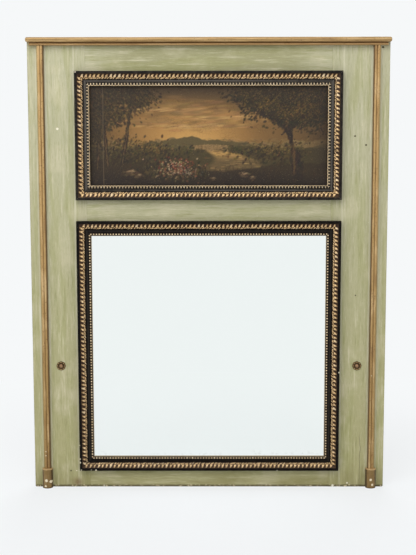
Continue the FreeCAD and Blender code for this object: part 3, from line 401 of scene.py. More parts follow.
def gilt_finish(name, upright, worn):
    """Bronze gilding, with each of the worn masks laid over it in its colour."""
    material, place = new_finish(name)
    gold, rough, relief = gilding(place, upright)
    for mask, colour in worn(place):
        gold = mask.over(gold, colour)
    coat(gold, rough, relief, 0.0006, Metallic=0.3)
    return material


def rod_wear(place):
    """Painted shade between the reeds, brown on the side of a rod towards the frames, green
    brushed on to its outer side.
    """
    side = abs(place.parts()[0])
    ragged = place.grain(160, 160, 16, detail=3.0)
    place_x = side + (ragged - 0.5) * 0.003
    # A painted shade runs down the valley between the two reeds.
    valley_shade = abs(side - ROD_LINE).rise(0.0012, 0.0004)
    yield valley_shade * 0.42, paint(112, 80, 42)
    yield place_x.rise(ROD_LINE - 0.0068, ROD_LINE - 0.0082) * 0.92, paint(92, 64, 30)
    yield place_x.rise(ROD_LINE + 0.0076, ROD_LINE + 0.0096) * 0.6, paint(142, 130, 84)
    yield marks(place, GESSO_CHIPS), paint(226, 210, 176)


def plinth_wear(place):
    """Dark cheeks, a pale line on the ledge and chips down to the gesso."""
    x, _, z = place.parts()
    cheek = abs(abs(x) - ROD_LINE)
    ragged = place.grain(120, 120, 60, detail=3.0)
    yield 0.38 + ragged * 0.4, paint(98, 76, 36)
    yield (cheek + (ragged - 0.5) * 0.004).rise(0.0105, 0.0135) * 0.85, paint(66, 48, 20)
    ledge = (z + (ragged - 0.5) * 0.003).rise(PLINTH_TOP - 0.0035, PLINTH_TOP - 0.002)
    yield ledge, paint(190, 158, 110)
    yield z.rise(0.006, 0.001) * 0.8, paint(84, 62, 34)
    yield marks(place, GESSO_CHIPS, ragged=0.5), paint(232, 218, 188)


rod_gilt = gilt_finish("gilding on a rod", True, rod_wear)
plinth_gilt = gilt_finish("gilding on a plinth", True, plinth_wear)
for side in ("left", "right"):
    softened(side + "_rod", rod_gilt, "gilt_wood", arris=0.0006, sway=0.0006)
    softened(side + "_plinth", plinth_gilt, "gilt_wood", arris=0.0015, sway=0.0008)

# ---------------------------------------------------------------- top moulding
# A rounded gilt nose over a dark groove and a smaller gilt member, run along the panel's
# head and nailed through the nose; the nails are punched below the surface.

NOSE_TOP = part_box("top_moulding")[1].z
NOSE_HEIGHT = 0.0145
NOSE_FOOT = NOSE_TOP - NOSE_HEIGHT
NOSE_DEPTH = BOARD_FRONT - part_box("top_moulding")[0].y
GROOVE_FOOT = NOSE_FOOT - 0.0035
END_RADIUS = 0.005


def moulding_wear(place):
    """Painted shade in the groove, a tan member under it and a rubbed nose."""
    z = place.parts()[2]
    ragged = place.grain(25, 160, 160, detail=3.0)
    yield 0.1 + ragged * 0.25, paint(140, 108, 66)
    streaks = place.grain(5, 420, 420, detail=4.0)
    yield streaks.rise(0.5, 0.66) * 0.6, paint(122, 88, 44)
    yield streaks.rise(0.46, 0.34) * 0.4, paint(226, 194, 138)
    level = z + (ragged - 0.5) * 0.0012
    crease = abs(level - NOSE_FOOT - 0.0062 - (streaks - 0.5) * 0.006)
    yield crease.rise(0.0014, 0.0004) * ragged.rise(0.3, 0.5) * 0.55, paint(116, 82, 40)
    # The groove under the nose is painted dark as shade.
    groove = level.rise(NOSE_FOOT + 0.0004, NOSE_FOOT - 0.0004)
    groove = groove * level.rise(GROOVE_FOOT - 0.0006, GROOVE_FOOT + 0.0002)
    yield groove * 0.9, paint(104, 70, 28)
    yield level.rise(GROOVE_FOOT, GROOVE_FOOT - 0.001) * 0.35, paint(150, 112, 66)
    dulled = level.rise(NOSE_FOOT + 0.0105, NOSE_FOOT + 0.0135) * ragged.rise(0.4, 0.6)
    yield dulled * 0.6, paint(148, 122, 78)


moulding_gilt = gilt_finish("gilding on the top moulding", False, moulding_wear)
end_cuts = [END_RADIUS * share for share in (0.06, 0.25, 0.55, 1.0)]
worked = {"arris": 0.0008, "sway": 0.0006, "axis": 0, "ends": end_cuts}
moulding = softened("top_moulding", moulding_gilt, "gilt_wood", **worked)
# Both ends of the nose are rubbed round: they draw in towards its middle and the boards.
moulding_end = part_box("top_moulding")[1].x
nose_middle = NOSE_TOP - NOSE_HEIGHT / 2
for vertex in moulding.data.vertices:
    from_end = moulding_end - abs(vertex.co.x)
    if from_end < END_RADIUS:
        short = END_RADIUS - from_end
        inset = END_RADIUS - math.sqrt(max(0.0, END_RADIUS**2 - short**2))
        vertex.co.z += (nose_middle - vertex.co.z) * inset * 0.8 / (NOSE_HEIGHT / 2)
        vertex.co.y += max(0.0, BOARD_FRONT - vertex.co.y) * inset / NOSE_DEPTH

# ---------------------------------------------------------------- nails and screws
# Cut iron nails and hand-filed screws, all rusted dark brown, hold the moulding, the canvas,
# the stretcher, the backing boards, the frames and the hanger plates.

dark_iron, place = new_finish("rusted iron")
rust = place.grain(260, 260, 260, detail=4.0)
pits = place.grain(1500, 1500, 1500, detail=2.0)
colour = rust.rise(0.4, 0.62).over(paint(52, 47, 43), paint(96, 60, 36))
coat(colour, 0.45 + rust * 0.4, pits, 0.0002, Metallic=0.7)
IRONWORK = ("moulding_nails", "stretcher_stays", "back_board_nails", "canvas_tacks")
IRONWORK += ("frame_screws", "hanger_screws")
for ironwork in IRONWORK:
    refinish(ironwork, dark_iron)

# ---------------------------------------------------------------- frame members
# Four mitred lengths of moulded pine round each opening: a raised outer edge, a seat for
# the carved leaves, a hollow and a seat for the beads. Ebonised, waxed and screwed on.

FRAMES = {}
for picture in ("painting", "mirror"):
    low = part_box(picture + "_frame_bottom")[0]
    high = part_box(picture + "_frame_top")[1]
    FRAMES[picture] = (Vector((low.x, BOARD_FRONT, low.z)), Vector((high.x, BOARD_FRONT, high.z)))
SIDES = ("top", "bottom", "left", "right")
MEMBERS = [(picture, side) for picture in FRAMES for side in SIDES]
EDGE_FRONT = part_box("mirror_frame_top")[0].y
# Across a member, from its outer edge: the hollow, and the inner edge of the bead strip.
HOLLOW_FROM = 0.0255
HOLLOW_TO = 0.037
BEAD_TO = 0.0445
FRAME_CHIPS = ((-0.4055, 0.095, 0.0028), (-0.4058, 0.0835, 0.0034), (-0.356, 0.0585, 0.0032))
FRAME_CHIPS += ((-0.402, 0.0595, 0.0022), (-0.371, 0.0595, 0.0014), (0.4055, 0.372, 0.003))
FRAME_CHIPS += ((-0.403, 1.2965, 0.0026), (-0.4065, 0.139, 0.0022), (0.214, 0.058, 0.002))


def frame_outline(place, picture):
    """Depth inside a frame's outer edge, and distance from the nearest mitre."""
    x, _, z = place.parts()
    low, high = FRAMES[picture]
    from_side = high.x - abs(x)
    from_head = (high.z - low.z) / 2 - abs(z - (high.z + low.z) / 2)
    return from_side.least(from_head), abs(from_side - from_head)


def ebonised(name, picture, dusty, black, glint, lip_shows, shine):
    """Ebonised wood, greyer where dust and wear lie on it, with a painted highlight in the hollow
    and chips along its outer edge.
    """
    material, place = new_finish(name)
    y = place.parts()[1]
    depth, mitre = frame_outline(place, picture)
    strokes = place.grain(60, 60, 60, detail=4.0)
    scratches = place.grain(500, 500, 500, detail=3.0)
    colour = strokes.rise(0.36, 0.66).over(black, dusty)
    # The hollow takes a painted highlight in the glint colour, strongest where it faces sideways,
    # and each mitre a pale line of that colour.
    hollow = depth.rise(HOLLOW_FROM, HOLLOW_FROM + 0.0035)
    hollow = hollow * depth.rise(HOLLOW_TO, HOLLOW_TO - 0.004)
    sideways = abs(facing(place)[0]).rise(0.04, 0.3)
    colour = (hollow * (0.1 + strokes * 0.2 + sideways * 0.6)).over(colour, glint)
    colour = ((mitre + scratches * 0.0006).rise(0.0011, 0.0006) * 0.7).over(colour, glint)
    lip = depth.rise(BEAD_TO + 0.0001, BEAD_TO + 0.0004) * lip_shows
    colour = lip.over(colour, paint(158, 142, 114))
    rubbed = depth.rise(0.0016, 0.0004) * scratches.rise(0.5, 0.62)
    rubbed = rubbed * y.rise(EDGE_FRONT + 0.004, EDGE_FRONT)
    colour = (rubbed * 0.6).over(colour, paint(128, 112, 88))
    colour = marks(place, FRAME_CHIPS, ragged=0.5).over(colour, paint(202, 192, 170))
    rough = 0.4 + strokes * 0.3
    coat(colour, rough, strokes * 0.5 + scratches * 0.5, 0.0003, Specular_IOR_Level=shine)
    return material


ebony = {
    "painting": ebonised(
        "ebonising above",
        "painting",
        dusty=paint(44, 39, 33),
        black=paint(15, 11, 8),
        glint=paint(96, 91, 85),
        lip_shows=0.0,
        shine=0.13,
    ),
    "mirror": ebonised(
        "ebonising below",
        "mirror",
        dusty=paint(24, 20, 16),
        black=paint(7, 5, 4),
        glint=paint(46, 42, 37),
        lip_shows=1.0,
        shine=0.07,
    ),
}
for picture, side in MEMBERS:
    softened(f"{picture}_frame_{side}", ebony[picture], "ebonised_wood", arris=0.0007)

# ---------------------------------------------------------------- carved leaf bands
# A strip of carved limewood lies on the sloping seat of each member: leaves with their tips
# outwards, a twisted cord inside them, bronze-gilt and worn to the brown bole in the hollows, with
# painted shade there and painted highlights on the crests.

LEAF_PITCH = 0.0127
LEAF_FROM = 0.008
LEAF_TO = 0.024
LEAF_SEAT_HIGH = 0.015
LEAF_SEAT_LOW = 0.0065
LEAF_SLOPE = math.atan2(LEAF_SEAT_HIGH - LEAF_SEAT_LOW, LEAF_TO - LEAF_FROM)
LEAF_WIDTH = (LEAF_TO - LEAF_FROM) / math.cos(LEAF_SLOPE)
CORD_PITCH = LEAF_PITCH / 3
CORD_WIDTH = 0.0058
LEAF_REACH = LEAF_WIDTH - CORD_WIDTH + 0.0012
# A leaf from its tip to its foot: how far down it, its half width in pitches and its height.
LEAF_PROFILE = ((0.0, 0.14, 0.0), (0.07, 0.2, 0.0046), (0.2, 0.24, 0.0038), (0.4, 0.28, 0.005))
LEAF_PROFILE += ((0.62, 0.32, 0.0056), (0.84, 0.38, 0.0045), (1.0, 0.46, 0.0))


def member_axes(picture, side):
    """A member's own axes (along it, in from its outer edge, out from the board) and length."""
    low, high = FRAMES[picture]
    middle = (low + high) / 2
    inward = {"top": (0, 0, -1), "bottom": (0, 0, 1), "left": (1, 0, 0), "right": (-1, 0, 0)}
    inward = Vector(inward[side])
    outward = Vector((0, -1, 0))
    along = inward.cross(outward)
    reach = Vector(((high.x - low.x) / 2, 0, (high.z - low.z) / 2))
    foot = middle - Vector((inward.x * reach.x, 0, inward.z * reach.z))
    axes = Matrix((along, inward, outward)).transposed().to_4x4()
    length = 2 * (reach.x * abs(along.x) + reach.z * abs(along.z))
    return Matrix.Translation(foot) @ axes, length


def in_relief(name, points, faces, reliefs):
    """A mesh that keeps the height of its surface, from 0 to 1, for its finish to read."""
    mesh = bpy.data.meshes.new(name)
    mesh.from_pydata(points, [], faces)
    mesh.attributes.new("relief", "FLOAT", "POINT").data.foreach_set("value", reliefs)
    return mesh


def mitred_strip(name, picture, side, section):
    """A strip of that section, (in, out, relief) points, mitred at both ends of its member."""
    axes, length = member_axes(picture, side)
    points = []
    reliefs = []
    for end in (-1, 1):
        for inward, outward, relief in section:
            points.append(axes @ Vector((end * (length / 2 - inward), inward, outward)))
            reliefs.append(relief)
    count = len(section)
    faces = [tuple(range(count)), tuple(reversed(range(count, 2 * count)))]
    for corner in range(count):
        following = (corner + 1) % count
        faces.append((following, corner, corner + count, following + count))
    return in_scene(name, in_relief(name, points, faces, reliefs))


def ornament(name, points, faces, reliefs):
    """One small carved shape, closed and shaded round, for a row to repeat."""
    mesh = in_relief(name, points, faces, reliefs)
    mesh.shade_smooth()
    return in_scene(name, mesh)


def sheet_faces(columns, rows):
    """The faces of a sheet of corners, row by row, and the corners round its edge in turn."""
    across = columns + 1
    faces = []
    for row in range(rows):
        for column in range(columns):
            corner = row * across + column
            faces.append((corner, corner + 1, corner + across + 1, corner + across))
    rim = list(range(across))
    rim += [row * across + columns for row in range(1, rows + 1)]
    rim += [rows * across + column for column in range(columns - 1, -1, -1)]
    rim += [row * across for row in range(rows - 1, 0, -1)]
    return faces, rim


def tube_faces(steps, sides):
    """The faces round a tube of corners, ring by ring."""
    faces = []
    for step in range(steps):
        for corner in range(sides):
            here = step * sides + corner
            beside = step * sides + (corner + 1) % sides
            faces.append((here, beside, beside + sides, here + sides))
    return faces


def carved_leaf(name, fullness, lean, split):
    """A leaf of 37 faces: a small curled tip outwards, a full body, a broad foot inwards."""
    rows, columns = len(LEAF_PROFILE) - 1, 6
    points, reliefs = [], []
    for row, (t, width, arch) in enumerate(LEAF_PROFILE):
        half = LEAF_PITCH * width * fullness
        for column, c in enumerate((-1, -0.86, -0.45, 0, 0.45, 0.86, 1)):
            edge = row in (0, rows) or column in (0, columns)
            vein = split * math.exp(-((c / 0.34) ** 2)) * t
            height = -0.0004 if edge else arch * (1 - 0.4 * c * c) * (1 - vein)
            slant = -lean * LEAF_PITCH * max(0.0, 1 - t / 0.6) ** 1.2
            points.append((half * c + slant, 0.0004 + t * LEAF_REACH, height))
            reliefs.append(0.0 if edge else height / 0.0052)
    faces, rim = sheet_faces(columns, rows)
    faces.append(tuple(reversed(rim)))
    return ornament(name, points, faces, reliefs)


def cord_twist(name):
    """One slanting strand of the twisted cord, 22 faces."""
    steps, sides = 4, 5
    points, reliefs = [], []
    for step in range(steps + 1):
        t = step / steps
        for corner in range(sides):
            turn = 2 * math.pi * corner / sides
            swell = 0.45 + 0.55 * math.sin(math.pi * (0.1 + 0.8 * t))
            x = CORD_PITCH * (1.2 * (t - 0.5) + 0.42 * swell * math.cos(turn))
            height = 0.0026 + 0.0023 * swell * math.sin(turn)
            points.append((x, LEAF_WIDTH - CORD_WIDTH + (CORD_WIDTH - 0.0005) * t, height))
            reliefs.append(0.55 + 0.5 * math.sin(turn))
    faces = [(a, d, c, b) for a, b, c, d in tube_faces(steps, sides)]
    faces.append(tuple(range(sides)))
    faces.append(tuple(reversed(range(steps * sides, (steps + 1) * sides))))
    return ornament(name, points, faces, reliefs)


def row_tree():
    """A strip with one ornament set along it in a row, no two quite alike."""
    tree = bpy.data.node_groups.new("carved row", "GeometryNodeTree")
    sockets = (("Strip", "Geometry"), ("Ornament", "Object"), ("Start", "Vector"))
    sockets += (("Step", "Vector"), ("Count", "Int"), ("Turn", "Vector"))
    sockets += (("Unevenness", "Float"), ("Seed", "Int"), ("Finish", "Material"))
    for name, kind in sockets:
        tree.interface.new_socket(name, in_out="INPUT", socket_type="NodeSocket" + kind)
    tree.interface.new_socket("Row", in_out="OUTPUT", socket_type="NodeSocketGeometry")

    def add(kind, settings=(), **sockets):
        made = tree.nodes.new(kind)
        for name, setting in dict(settings).items():
            setattr(made, name, setting)
        for name, value in sockets.items():
            socket = made.inputs[name.replace("_", " ")]
            if isinstance(value, bpy.types.NodeSocket):
                tree.links.new(value, socket)
            else:
                socket.default_value = value
        return made

    given = add("NodeGroupInput").outputs
    line = add("GeometryNodeMeshLine", {"mode": "OFFSET"}, Count=given["Count"])
    tree.links.new(given["Start"], line.inputs["Start Location"])
    tree.links.new(given["Step"], line.inputs["Offset"])
    shape = add("GeometryNodeObjectInfo", Object=given["Ornament"])
    least = add("ShaderNodeMath", {"operation": "SUBTRACT"})
    least.inputs[0].default_value = 1.0
    tree.links.new(given["Unevenness"], least.inputs[1])
    chance = {"data_type": "FLOAT_VECTOR"}
    size = add("FunctionNodeRandomValue", chance, Seed=given["Seed"])
    size.inputs["Max"].default_value = (1.0, 1.0, 1.0)
    tree.links.new(least.outputs[0], size.inputs["Min"])
    placed = add(
        "GeometryNodeInstanceOnPoints",
        Points=line.outputs["Mesh"],
        Instance=shape.outputs["Geometry"],
        Rotation=given["Turn"],
        Scale=size.outputs["Value"],
    )
    swing = add("FunctionNodeRandomValue", chance, Seed=given["Seed"])
    most = add("ShaderNodeMath", {"operation": "MULTIPLY"})
    most.inputs[0].default_value = -1.0
    tree.links.new(given["Unevenness"], most.inputs[1])
    tree.links.new(most.outputs[0], swing.inputs["Min"])
    tree.links.new(given["Unevenness"], swing.inputs["Max"])
    spin = add("ShaderNodeCombineXYZ")
    lean = add("ShaderNodeSeparateXYZ")
    tree.links.new(swing.outputs["Value"], lean.inputs[0])
    tree.links.new(lean.outputs["Z"], spin.inputs["Z"])
    turned = add(
        "GeometryNodeRotateInstances", Instances=placed.outputs[0], Rotation=spin.outputs[0]
    )
    tone = add("FunctionNodeRandomValue", {"data_type": "FLOAT"}, Seed=given["Seed"])
    toned = add("GeometryNodeStoreNamedAttribute", {"data_type": "FLOAT", "domain": "INSTANCE"})
    toned.inputs["Name"].default_value = "tone"
    tree.links.new(turned.outputs[0], toned.inputs["Geometry"])
    tree.links.new(tone.outputs[1], toned.inputs["Value"])
    joined = add("GeometryNodeJoinGeometry")
    tree.links.new(toned.outputs[0], joined.inputs[0])
    tree.links.new(given["Strip"], joined.inputs[0])
    real = add("GeometryNodeRealizeInstances", Geometry=joined.outputs[0])
    done = add("GeometryNodeSetMaterial", Geometry=real.outputs[0], Material=given["Finish"])
    tree.links.new(done.outputs[0], add("NodeGroupOutput").inputs[0])
    return tree


def add_row(strip, tree, **given):
    """Sets a row of an ornament on a strip, from values by the tree's own input names."""
    row = strip.modifiers.new("row", "NODES")
    row.node_group = tree
    for item in tree.interface.items_tree:
        if item.in_out == "INPUT" and item.name in given:
            row[item.identifier] = given[item.name]


def made_plain(strip):
    """The strip with its rows as one plain mesh; the strip itself is thrown away."""
    graph = bpy.context.evaluated_depsgraph_get()
    mesh = bpy.data.meshes.new_from_object(strip.evaluated_get(graph))
    bpy.data.objects.remove(strip)
    return mesh


def ornament_gilding(name, bright, deep, dull):
    """Gold rubbed bright and given a painted highlight on what stands up, worn to bole and painted
    with shade in the hollows.
    """
    material, place = new_finish(name)
    height = place.parts()[2]
    relief = place.node("Attribute", {"attribute_name": "relief"}, out="Fac")
    tone = place.node("Attribute", {"attribute_name": "tone"}, out="Fac")
    patches = place.grain(28, 28, 28, detail=4.0)
    grit = place.grain(500, 500, 500, detail=4.0)
    # How high a place stands sets its painted shade, dark in the hollows, and its painted
    # highlight, bright on the crests.
    stands = relief + (grit - 0.5) * 0.5
    colour = stands.rise(0.28, 0.62).over(deep, dull)
    colour = (patches.rise(0.48, 0.36) * stands * 0.4).over(colour, paint(206, 170, 96))
    colour = (stands.rise(0.6, 0.88) * (0.6 + tone * 0.4)).over(colour, bright)
    colour = (patches.rise(0.56, 0.7) * 0.3).over(colour, deep)
    colour = ((tone * patches).rise(0.4, 0.56) * 0.5).over(colour, paint(238, 218, 182))
    colour = (height.rise(1.0, 0.0) * 0.12).over(colour, paint(88, 66, 42))
    rough = 0.4 + grit * 0.3
    coat(colour, rough, grit, 0.0002, Metallic=0.35)
    return material


leaf_gold = ornament_gilding(
    "gilding on the leaves", paint(250, 216, 164), paint(54, 31, 11), paint(140, 104, 58)
)
carved_rows = row_tree()
leaves = {
    "painting": carved_leaf("scrolled leaf", fullness=1.06, lean=0.3, split=0.4),
    "mirror": carved_leaf("slender leaf", fullness=1.0, lean=0.26, split=0.3),
}
cord = cord_twist("cord strand")
LEAF_GROUND = (
    (LEAF_FROM, LEAF_SEAT_HIGH, 0.0),
    (LEAF_FROM, LEAF_SEAT_HIGH + 0.0014, 0.0),
    (LEAF_FROM + 0.0011, LEAF_SEAT_HIGH + 0.001, 0.4),
    (LEAF_FROM + 0.0016, LEAF_SEAT_HIGH + 0.0002, 0.0),
    (LEAF_TO - 0.0028, LEAF_SEAT_LOW + 0.0022, 0.0),
    (LEAF_TO - 0.0006, LEAF_SEAT_LOW + 0.0012, 0.35),
    (LEAF_TO, LEAF_SEAT_LOW + 0.0012, 0.3),
    (LEAF_TO, LEAF_SEAT_LOW, 0.0),
)
tilt = Matrix.Rotation(-LEAF_SLOPE, 4, "X")
for number, (picture, side) in enumerate(MEMBERS):
    strip = mitred_strip(f"{picture}_leaves_{side}", picture, side, LEAF_GROUND)
    axes, length = member_axes(picture, side)
    turn = (axes @ tilt).to_euler()
    for shape, pitch, seed in ((leaves[picture], LEAF_PITCH, 11), (cord, CORD_PITCH, 53)):
        inward = (LEAF_FROM + LEAF_TO) / 2 if shape != cord else LEAF_TO - 0.0016
        room = length - 2 * inward
        count = round(room / pitch)
        start = (count - 1) / 2 * -room / count
        first = axes @ Vector((start, LEAF_FROM, LEAF_SEAT_HIGH + 0.0002))
        step = axes.to_3x3() @ Vector((room / count, 0, 0))
        add_row(
            strip,
            carved_rows,
            Ornament=shape,
            Start=first,
            Step=step,
            Count=count,
            Turn=turn,
            Unevenness=0.15,
            Seed=seed + number,
            Finish=leaf_gold,
        )
    mesh = made_plain(strip)
    name = f"{picture}_carved_leaves_{side}"
    settle(name, mesh, leaf_gold, "gilt_ornament", f"{picture}_leaf_band_{side}")

# ---------------------------------------------------------------- rows of beads
# Turned and gilt beads stand round the mirror; round the canvas the row is a string of
# small cups, open outwards. Both lie on a thin strip at the sight edge.

BEAD_FROM = 0.0365
BEAD_SEAT = 0.011
BEAD_PITCH = {"painting": 0.0094, "mirror": 0.0086}


def round_bead(name, radius, height):
    """A domed bead of 41 faces."""
    rings, sides = 4, 10
    points, reliefs = [], []
    for ring in range(rings):
        rise = math.pi / 2 * ring / rings
        for corner in range(sides):
            turn = 2 * math.pi * corner / sides
            spread = radius * math.cos(rise) ** 0.8
            up = height * math.sin(rise) - 0.0003 * (ring == 0)
            points.append((spread * math.cos(turn), spread * math.sin(turn), up))
            reliefs.append(math.sin(rise) ** 1.8)
    points.append((0, 0, height))
    reliefs.append(1.0)
    faces = tube_faces(rings - 1, sides)
    top = (rings - 1) * sides
    for corner in range(sides):
        faces.append((top + corner, top + (corner + 1) % sides, rings * sides))
    faces.append(tuple(reversed(range(sides))))
    return ornament(name, points, faces, reliefs)


def open_cup(name, pitch):
    """A horseshoe ridge of 30 faces, round on the sight side and open outwards."""
    steps, sides = 7, 4
    half = pitch / 2 - 0.0004
    points, reliefs = [], []
    for step in range(steps + 1):
        turn = math.pi * (step - 1) / (steps - 2)
        if step in (0, steps):
            middle = Vector((half if step == 0 else -half, -0.0042, 0))
            out = Vector((1 if step == 0 else -1, 0, 0))
        else:
            out = Vector((math.cos(turn), math.sin(turn), 0))
            middle = out * half + Vector((0, -0.0004, 0))
        ridge = ((0.0004, -0.0003, 0.3), (0.0003, 0.0037, 1), (-0.0007, 0.0034, 0.9))
        for outward, height, relief in (*ridge, (-0.0012, -0.0003, 0)):
            points.append(middle + out * outward + Vector((0, 0, height)))
            reliefs.append(relief)
    faces = tube_faces(steps, sides)
    faces.append(tuple(reversed(range(sides))))
    faces.append(tuple(range(steps * sides, (steps + 1) * sides)))
    return ornament(name, points, faces, reliefs)


# The beads take painted highlights on their crests and painted shade between them.
bead_gold = ornament_gilding(
    "gilding on the beads", paint(254, 232, 192), paint(28, 17, 8), paint(156, 124, 82)
)
beads = {
    "painting": open_cup("open cup", BEAD_PITCH["painting"]),
    "mirror": round_bead("round bead", 0.0031, 0.0047),
}
BEAD_GROUND = (
    (BEAD_FROM, BEAD_SEAT, 0.0),
    (BEAD_FROM, BEAD_SEAT + 0.0008, 0.0),
    (BEAD_TO - 0.0016, BEAD_SEAT + 0.0008, 0.05),
    (BEAD_TO - 0.0011, BEAD_SEAT + 0.0016, 0.75),
    (BEAD_TO, BEAD_SEAT + 0.0014, 0.7),
    (BEAD_TO, BEAD_SEAT, 0.2),
)
# How much of the gold, and of its painted highlight, is left on the strip's own inner edge.
EDGE_GOLD = {"painting": 1.0, "mirror": 0.45}
for number, (picture, side) in enumerate(MEMBERS):
    ground = [(*corner, relief * EDGE_GOLD[picture]) for *corner, relief in BEAD_GROUND]
    strip = mitred_strip(f"{picture}_bead_strip_{side}", picture, side, ground)
    axes, length = member_axes(picture, side)
    inward = (BEAD_FROM + BEAD_TO) / 2 - 0.0001
    room = length - 2 * inward
    count = round(room / BEAD_PITCH[picture])
    first = axes @ Vector((-room / 2 + room / count / 2, inward, BEAD_SEAT + 0.0006))
    add_row(
        strip,
        carved_rows,
        Ornament=beads[picture],
        Start=first,
        Step=axes.to_3x3() @ Vector((room / count, 0, 0)),
        Count=count,
        Turn=axes.to_euler(),
        Unevenness=0.08,
        Seed=97 + number,
        Finish=bead_gold,
    )
    mesh = made_plain(strip)
    name = f"{picture}_row_of_beads_{side}"
    settle(name, mesh, bead_gold, "gilt_ornament", f"{picture}_beads_{side}")
for shape in (*leaves.values(), cord, *beads.values()):
    bpy.data.objects.remove(shape)

# ---------------------------------------------------------------- rosettes
# A stamped brass rosette on each stile, eight petals round a raised ring, held by a nail
# whose domed head is its centre. Lacquer and dirt have turned it brown.

ROSETTE_RADIUS = (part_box("left_rosette")[1].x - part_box("left_rosette")[0].x) / 2
ROSETTE_RISE = BOARD_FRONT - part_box("left_rosette")[0].y
PETALS = 8


def stamped_rosette(name, centre):
    """A polar sheet of petals, closed behind by a flat ring round the nail's shank."""
    rings, spokes, hole = 22, 96, 0.0015
    points, reliefs = [], []
    for ring in range(rings + 1):
        share = ring / rings
        for spoke in range(spokes):
            turn = 2 * math.pi * spoke / spokes
            petal = abs(math.cos(PETALS / 2 * turn))
            edge = ROSETTE_RADIUS * (0.93 + 0.07 * petal**0.6)
            radius = hole + (edge - hole) * share
            rim = math.exp(-(((share - 0.8) / 0.13) ** 2)) * (0.35 + 0.65 * petal**0.7)
            inner = 0.55 * math.exp(-(((share - 0.53) / 0.07) ** 2))
            height = ROSETTE_RISE * min(1.0, 0.28 + 0.72 * max(rim, inner))
            height *= min(1.0, (1 - share) / 0.06 + 0.35)
            place = (math.cos(turn) * radius, -height, math.sin(turn) * radius)
            points.append(centre + Vector(place))
            reliefs.append(height / ROSETTE_RISE)
    faces = tube_faces(rings, spokes)
    back = len(points)
    for ring in (0, rings):
        for spoke in range(spokes):
            front = points[ring * spokes + spoke]
            points.append(Vector((front.x, centre.y, front.z)))
            reliefs.append(0.0)
    for spoke in range(spokes):
        beside = (spoke + 1) % spokes
        inner, outer, rim = back, back + spokes, rings * spokes
        faces.append((spoke, inner + spoke, inner + beside, beside))
        faces.append((rim + beside, outer + beside, outer + spoke, rim + spoke))
        faces.append((inner + spoke, outer + spoke, outer + beside, inner + beside))
    mesh = in_relief(name, points, faces, reliefs)
    mesh.set_sharp_from_angle(angle=math.radians(60))
    return mesh


rosette_brass, place = new_finish("dirty brass, painted highlights")
relief = place.node("Attribute", {"attribute_name": "relief"}, out="Fac")
dirt = place.grain(500, 500, 500, detail=3.0)
raised = (relief + (dirt - 0.5) * 0.5).rise(0.45, 0.85)
colour = raised.over(paint(46, 32, 14), paint(150, 122, 76))
# The raised ring and petals take a painted highlight.
colour = (relief * dirt).rise(0.45, 0.62).over(colour, paint(214, 188, 140))
coat(colour, 0.42 + dirt * 0.3, dirt, 0.0002, Metallic=0.5)
boss_brass, place = new_finish("rubbed brass")
dirt = place.grain(600, 600, 600, detail=3.0)
colour = dirt.rise(0.4, 0.65).over(paint(170, 134, 98), paint(122, 92, 62))
coat(colour, 0.36 + dirt * 0.3, dirt, 0.0002, Metallic=0.5)
for side in ("left", "right"):
    low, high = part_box(side + "_rosette")
    centre = Vector(((low.x + high.x) / 2, high.y, (low.z + high.z) / 2))
    name = side + "_petalled_rosette"
    mesh = stamped_rosette(name, centre)
    settle(name, mesh, rosette_brass, "rosette_brass", side + "_rosette")
    softened(side + "_rosette_nail", boss_brass, "rosette_brass")

# ---------------------------------------------------------------- oil painting
# Linen stretched over the bars, turned round them and tacked. On it is a quiet river valley
# at evening in umber, olive and gold, under a yellowed varnish, cracked and slightly slack.

CANVAS_LOW, CANVAS_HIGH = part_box("canvas")
LINEN = 0.001
BAR_WIDTH = 0.05
SLACK = 0.0005
# Flat, the linen is the front and what is turned over the bars along its four edges.
FRONT_SIZE = (CANVAS_HIGH.x - CANVAS_LOW.x, CANVAS_HIGH.z - CANVAS_LOW.z)
ACROSS, UP = 460, 196
LINEN_COLOUR = paint(150, 132, 102)
# The picture is one high and this wide in the painter's own measure.
PICTURE_WIDTH = FRONT_SIZE[0] / FRONT_SIZE[1]
brush = np.random.default_rng(1788)
across, up = np.meshgrid(np.linspace(0, PICTURE_WIDTH, ACROSS + 1), np.linspace(0, 1, UP + 1))
oils = np.empty((UP + 1, ACROSS + 1, 3))
oils[:] = np.array((74, 58, 34)) / 255


def wash(mask, colour):
    """Thins a colour over the picture by a mask from 0 to 1."""
    mask = np.clip(mask, 0, 1)[..., None]
    oils[:] = oils * (1 - mask) + mask * np.array(colour) / 255


def glow(x, z, wide, high):
    """A soft round mask about that point."""
    return np.exp(-(((across - x) / wide) ** 2) - ((up - z) / high) ** 2)


def dab(x, z, long, thick, lean, colour, body):
    """One touch of a bristle brush."""
    reach = max(long, thick) * 1.6
    left, right = np.searchsorted(across[0], (x - reach, x + reach))
    low, high = np.searchsorted(up[:, 0], (z - reach, z + reach))
    if right <= left or high <= low:
        return
    spot = (slice(low, high), slice(left, right))
    dx, dz = across[spot] - x, up[spot] - z
    run = dx * math.cos(lean) + dz * math.sin(lean)
    side = dz * math.cos(lean) - dx * math.sin(lean)
    shape = np.clip(1.25 - (run / long) ** 2 - (side / thick) ** 2, 0, 1)
    mask = (shape * body)[..., None]
    oils[spot] = oils[spot] * (1 - mask) + mask * np.array(colour) / 255


def touches(count, place, long, thick, lean, colours, body=0.7, loose=0.35):
    """Many touches, each at a place drawn by that function, in one of the colours."""
    for _ in range(count):
        x, z = place()
        colour = np.array(colours[brush.integers(len(colours))]) + brush.normal(0, 5, 3)
        size = brush.uniform(0.6, 1.4)
        angle = lean + brush.normal(0, loose)
        dab(x, z, long * size, thick * size, angle, colour, body * brush.uniform(0.5, 1))


def spread(x, z, wide, high):
    """Draws places in a soft heap about that point."""
    return lambda: (brush.normal(x, wide), brush.normal(z, high))


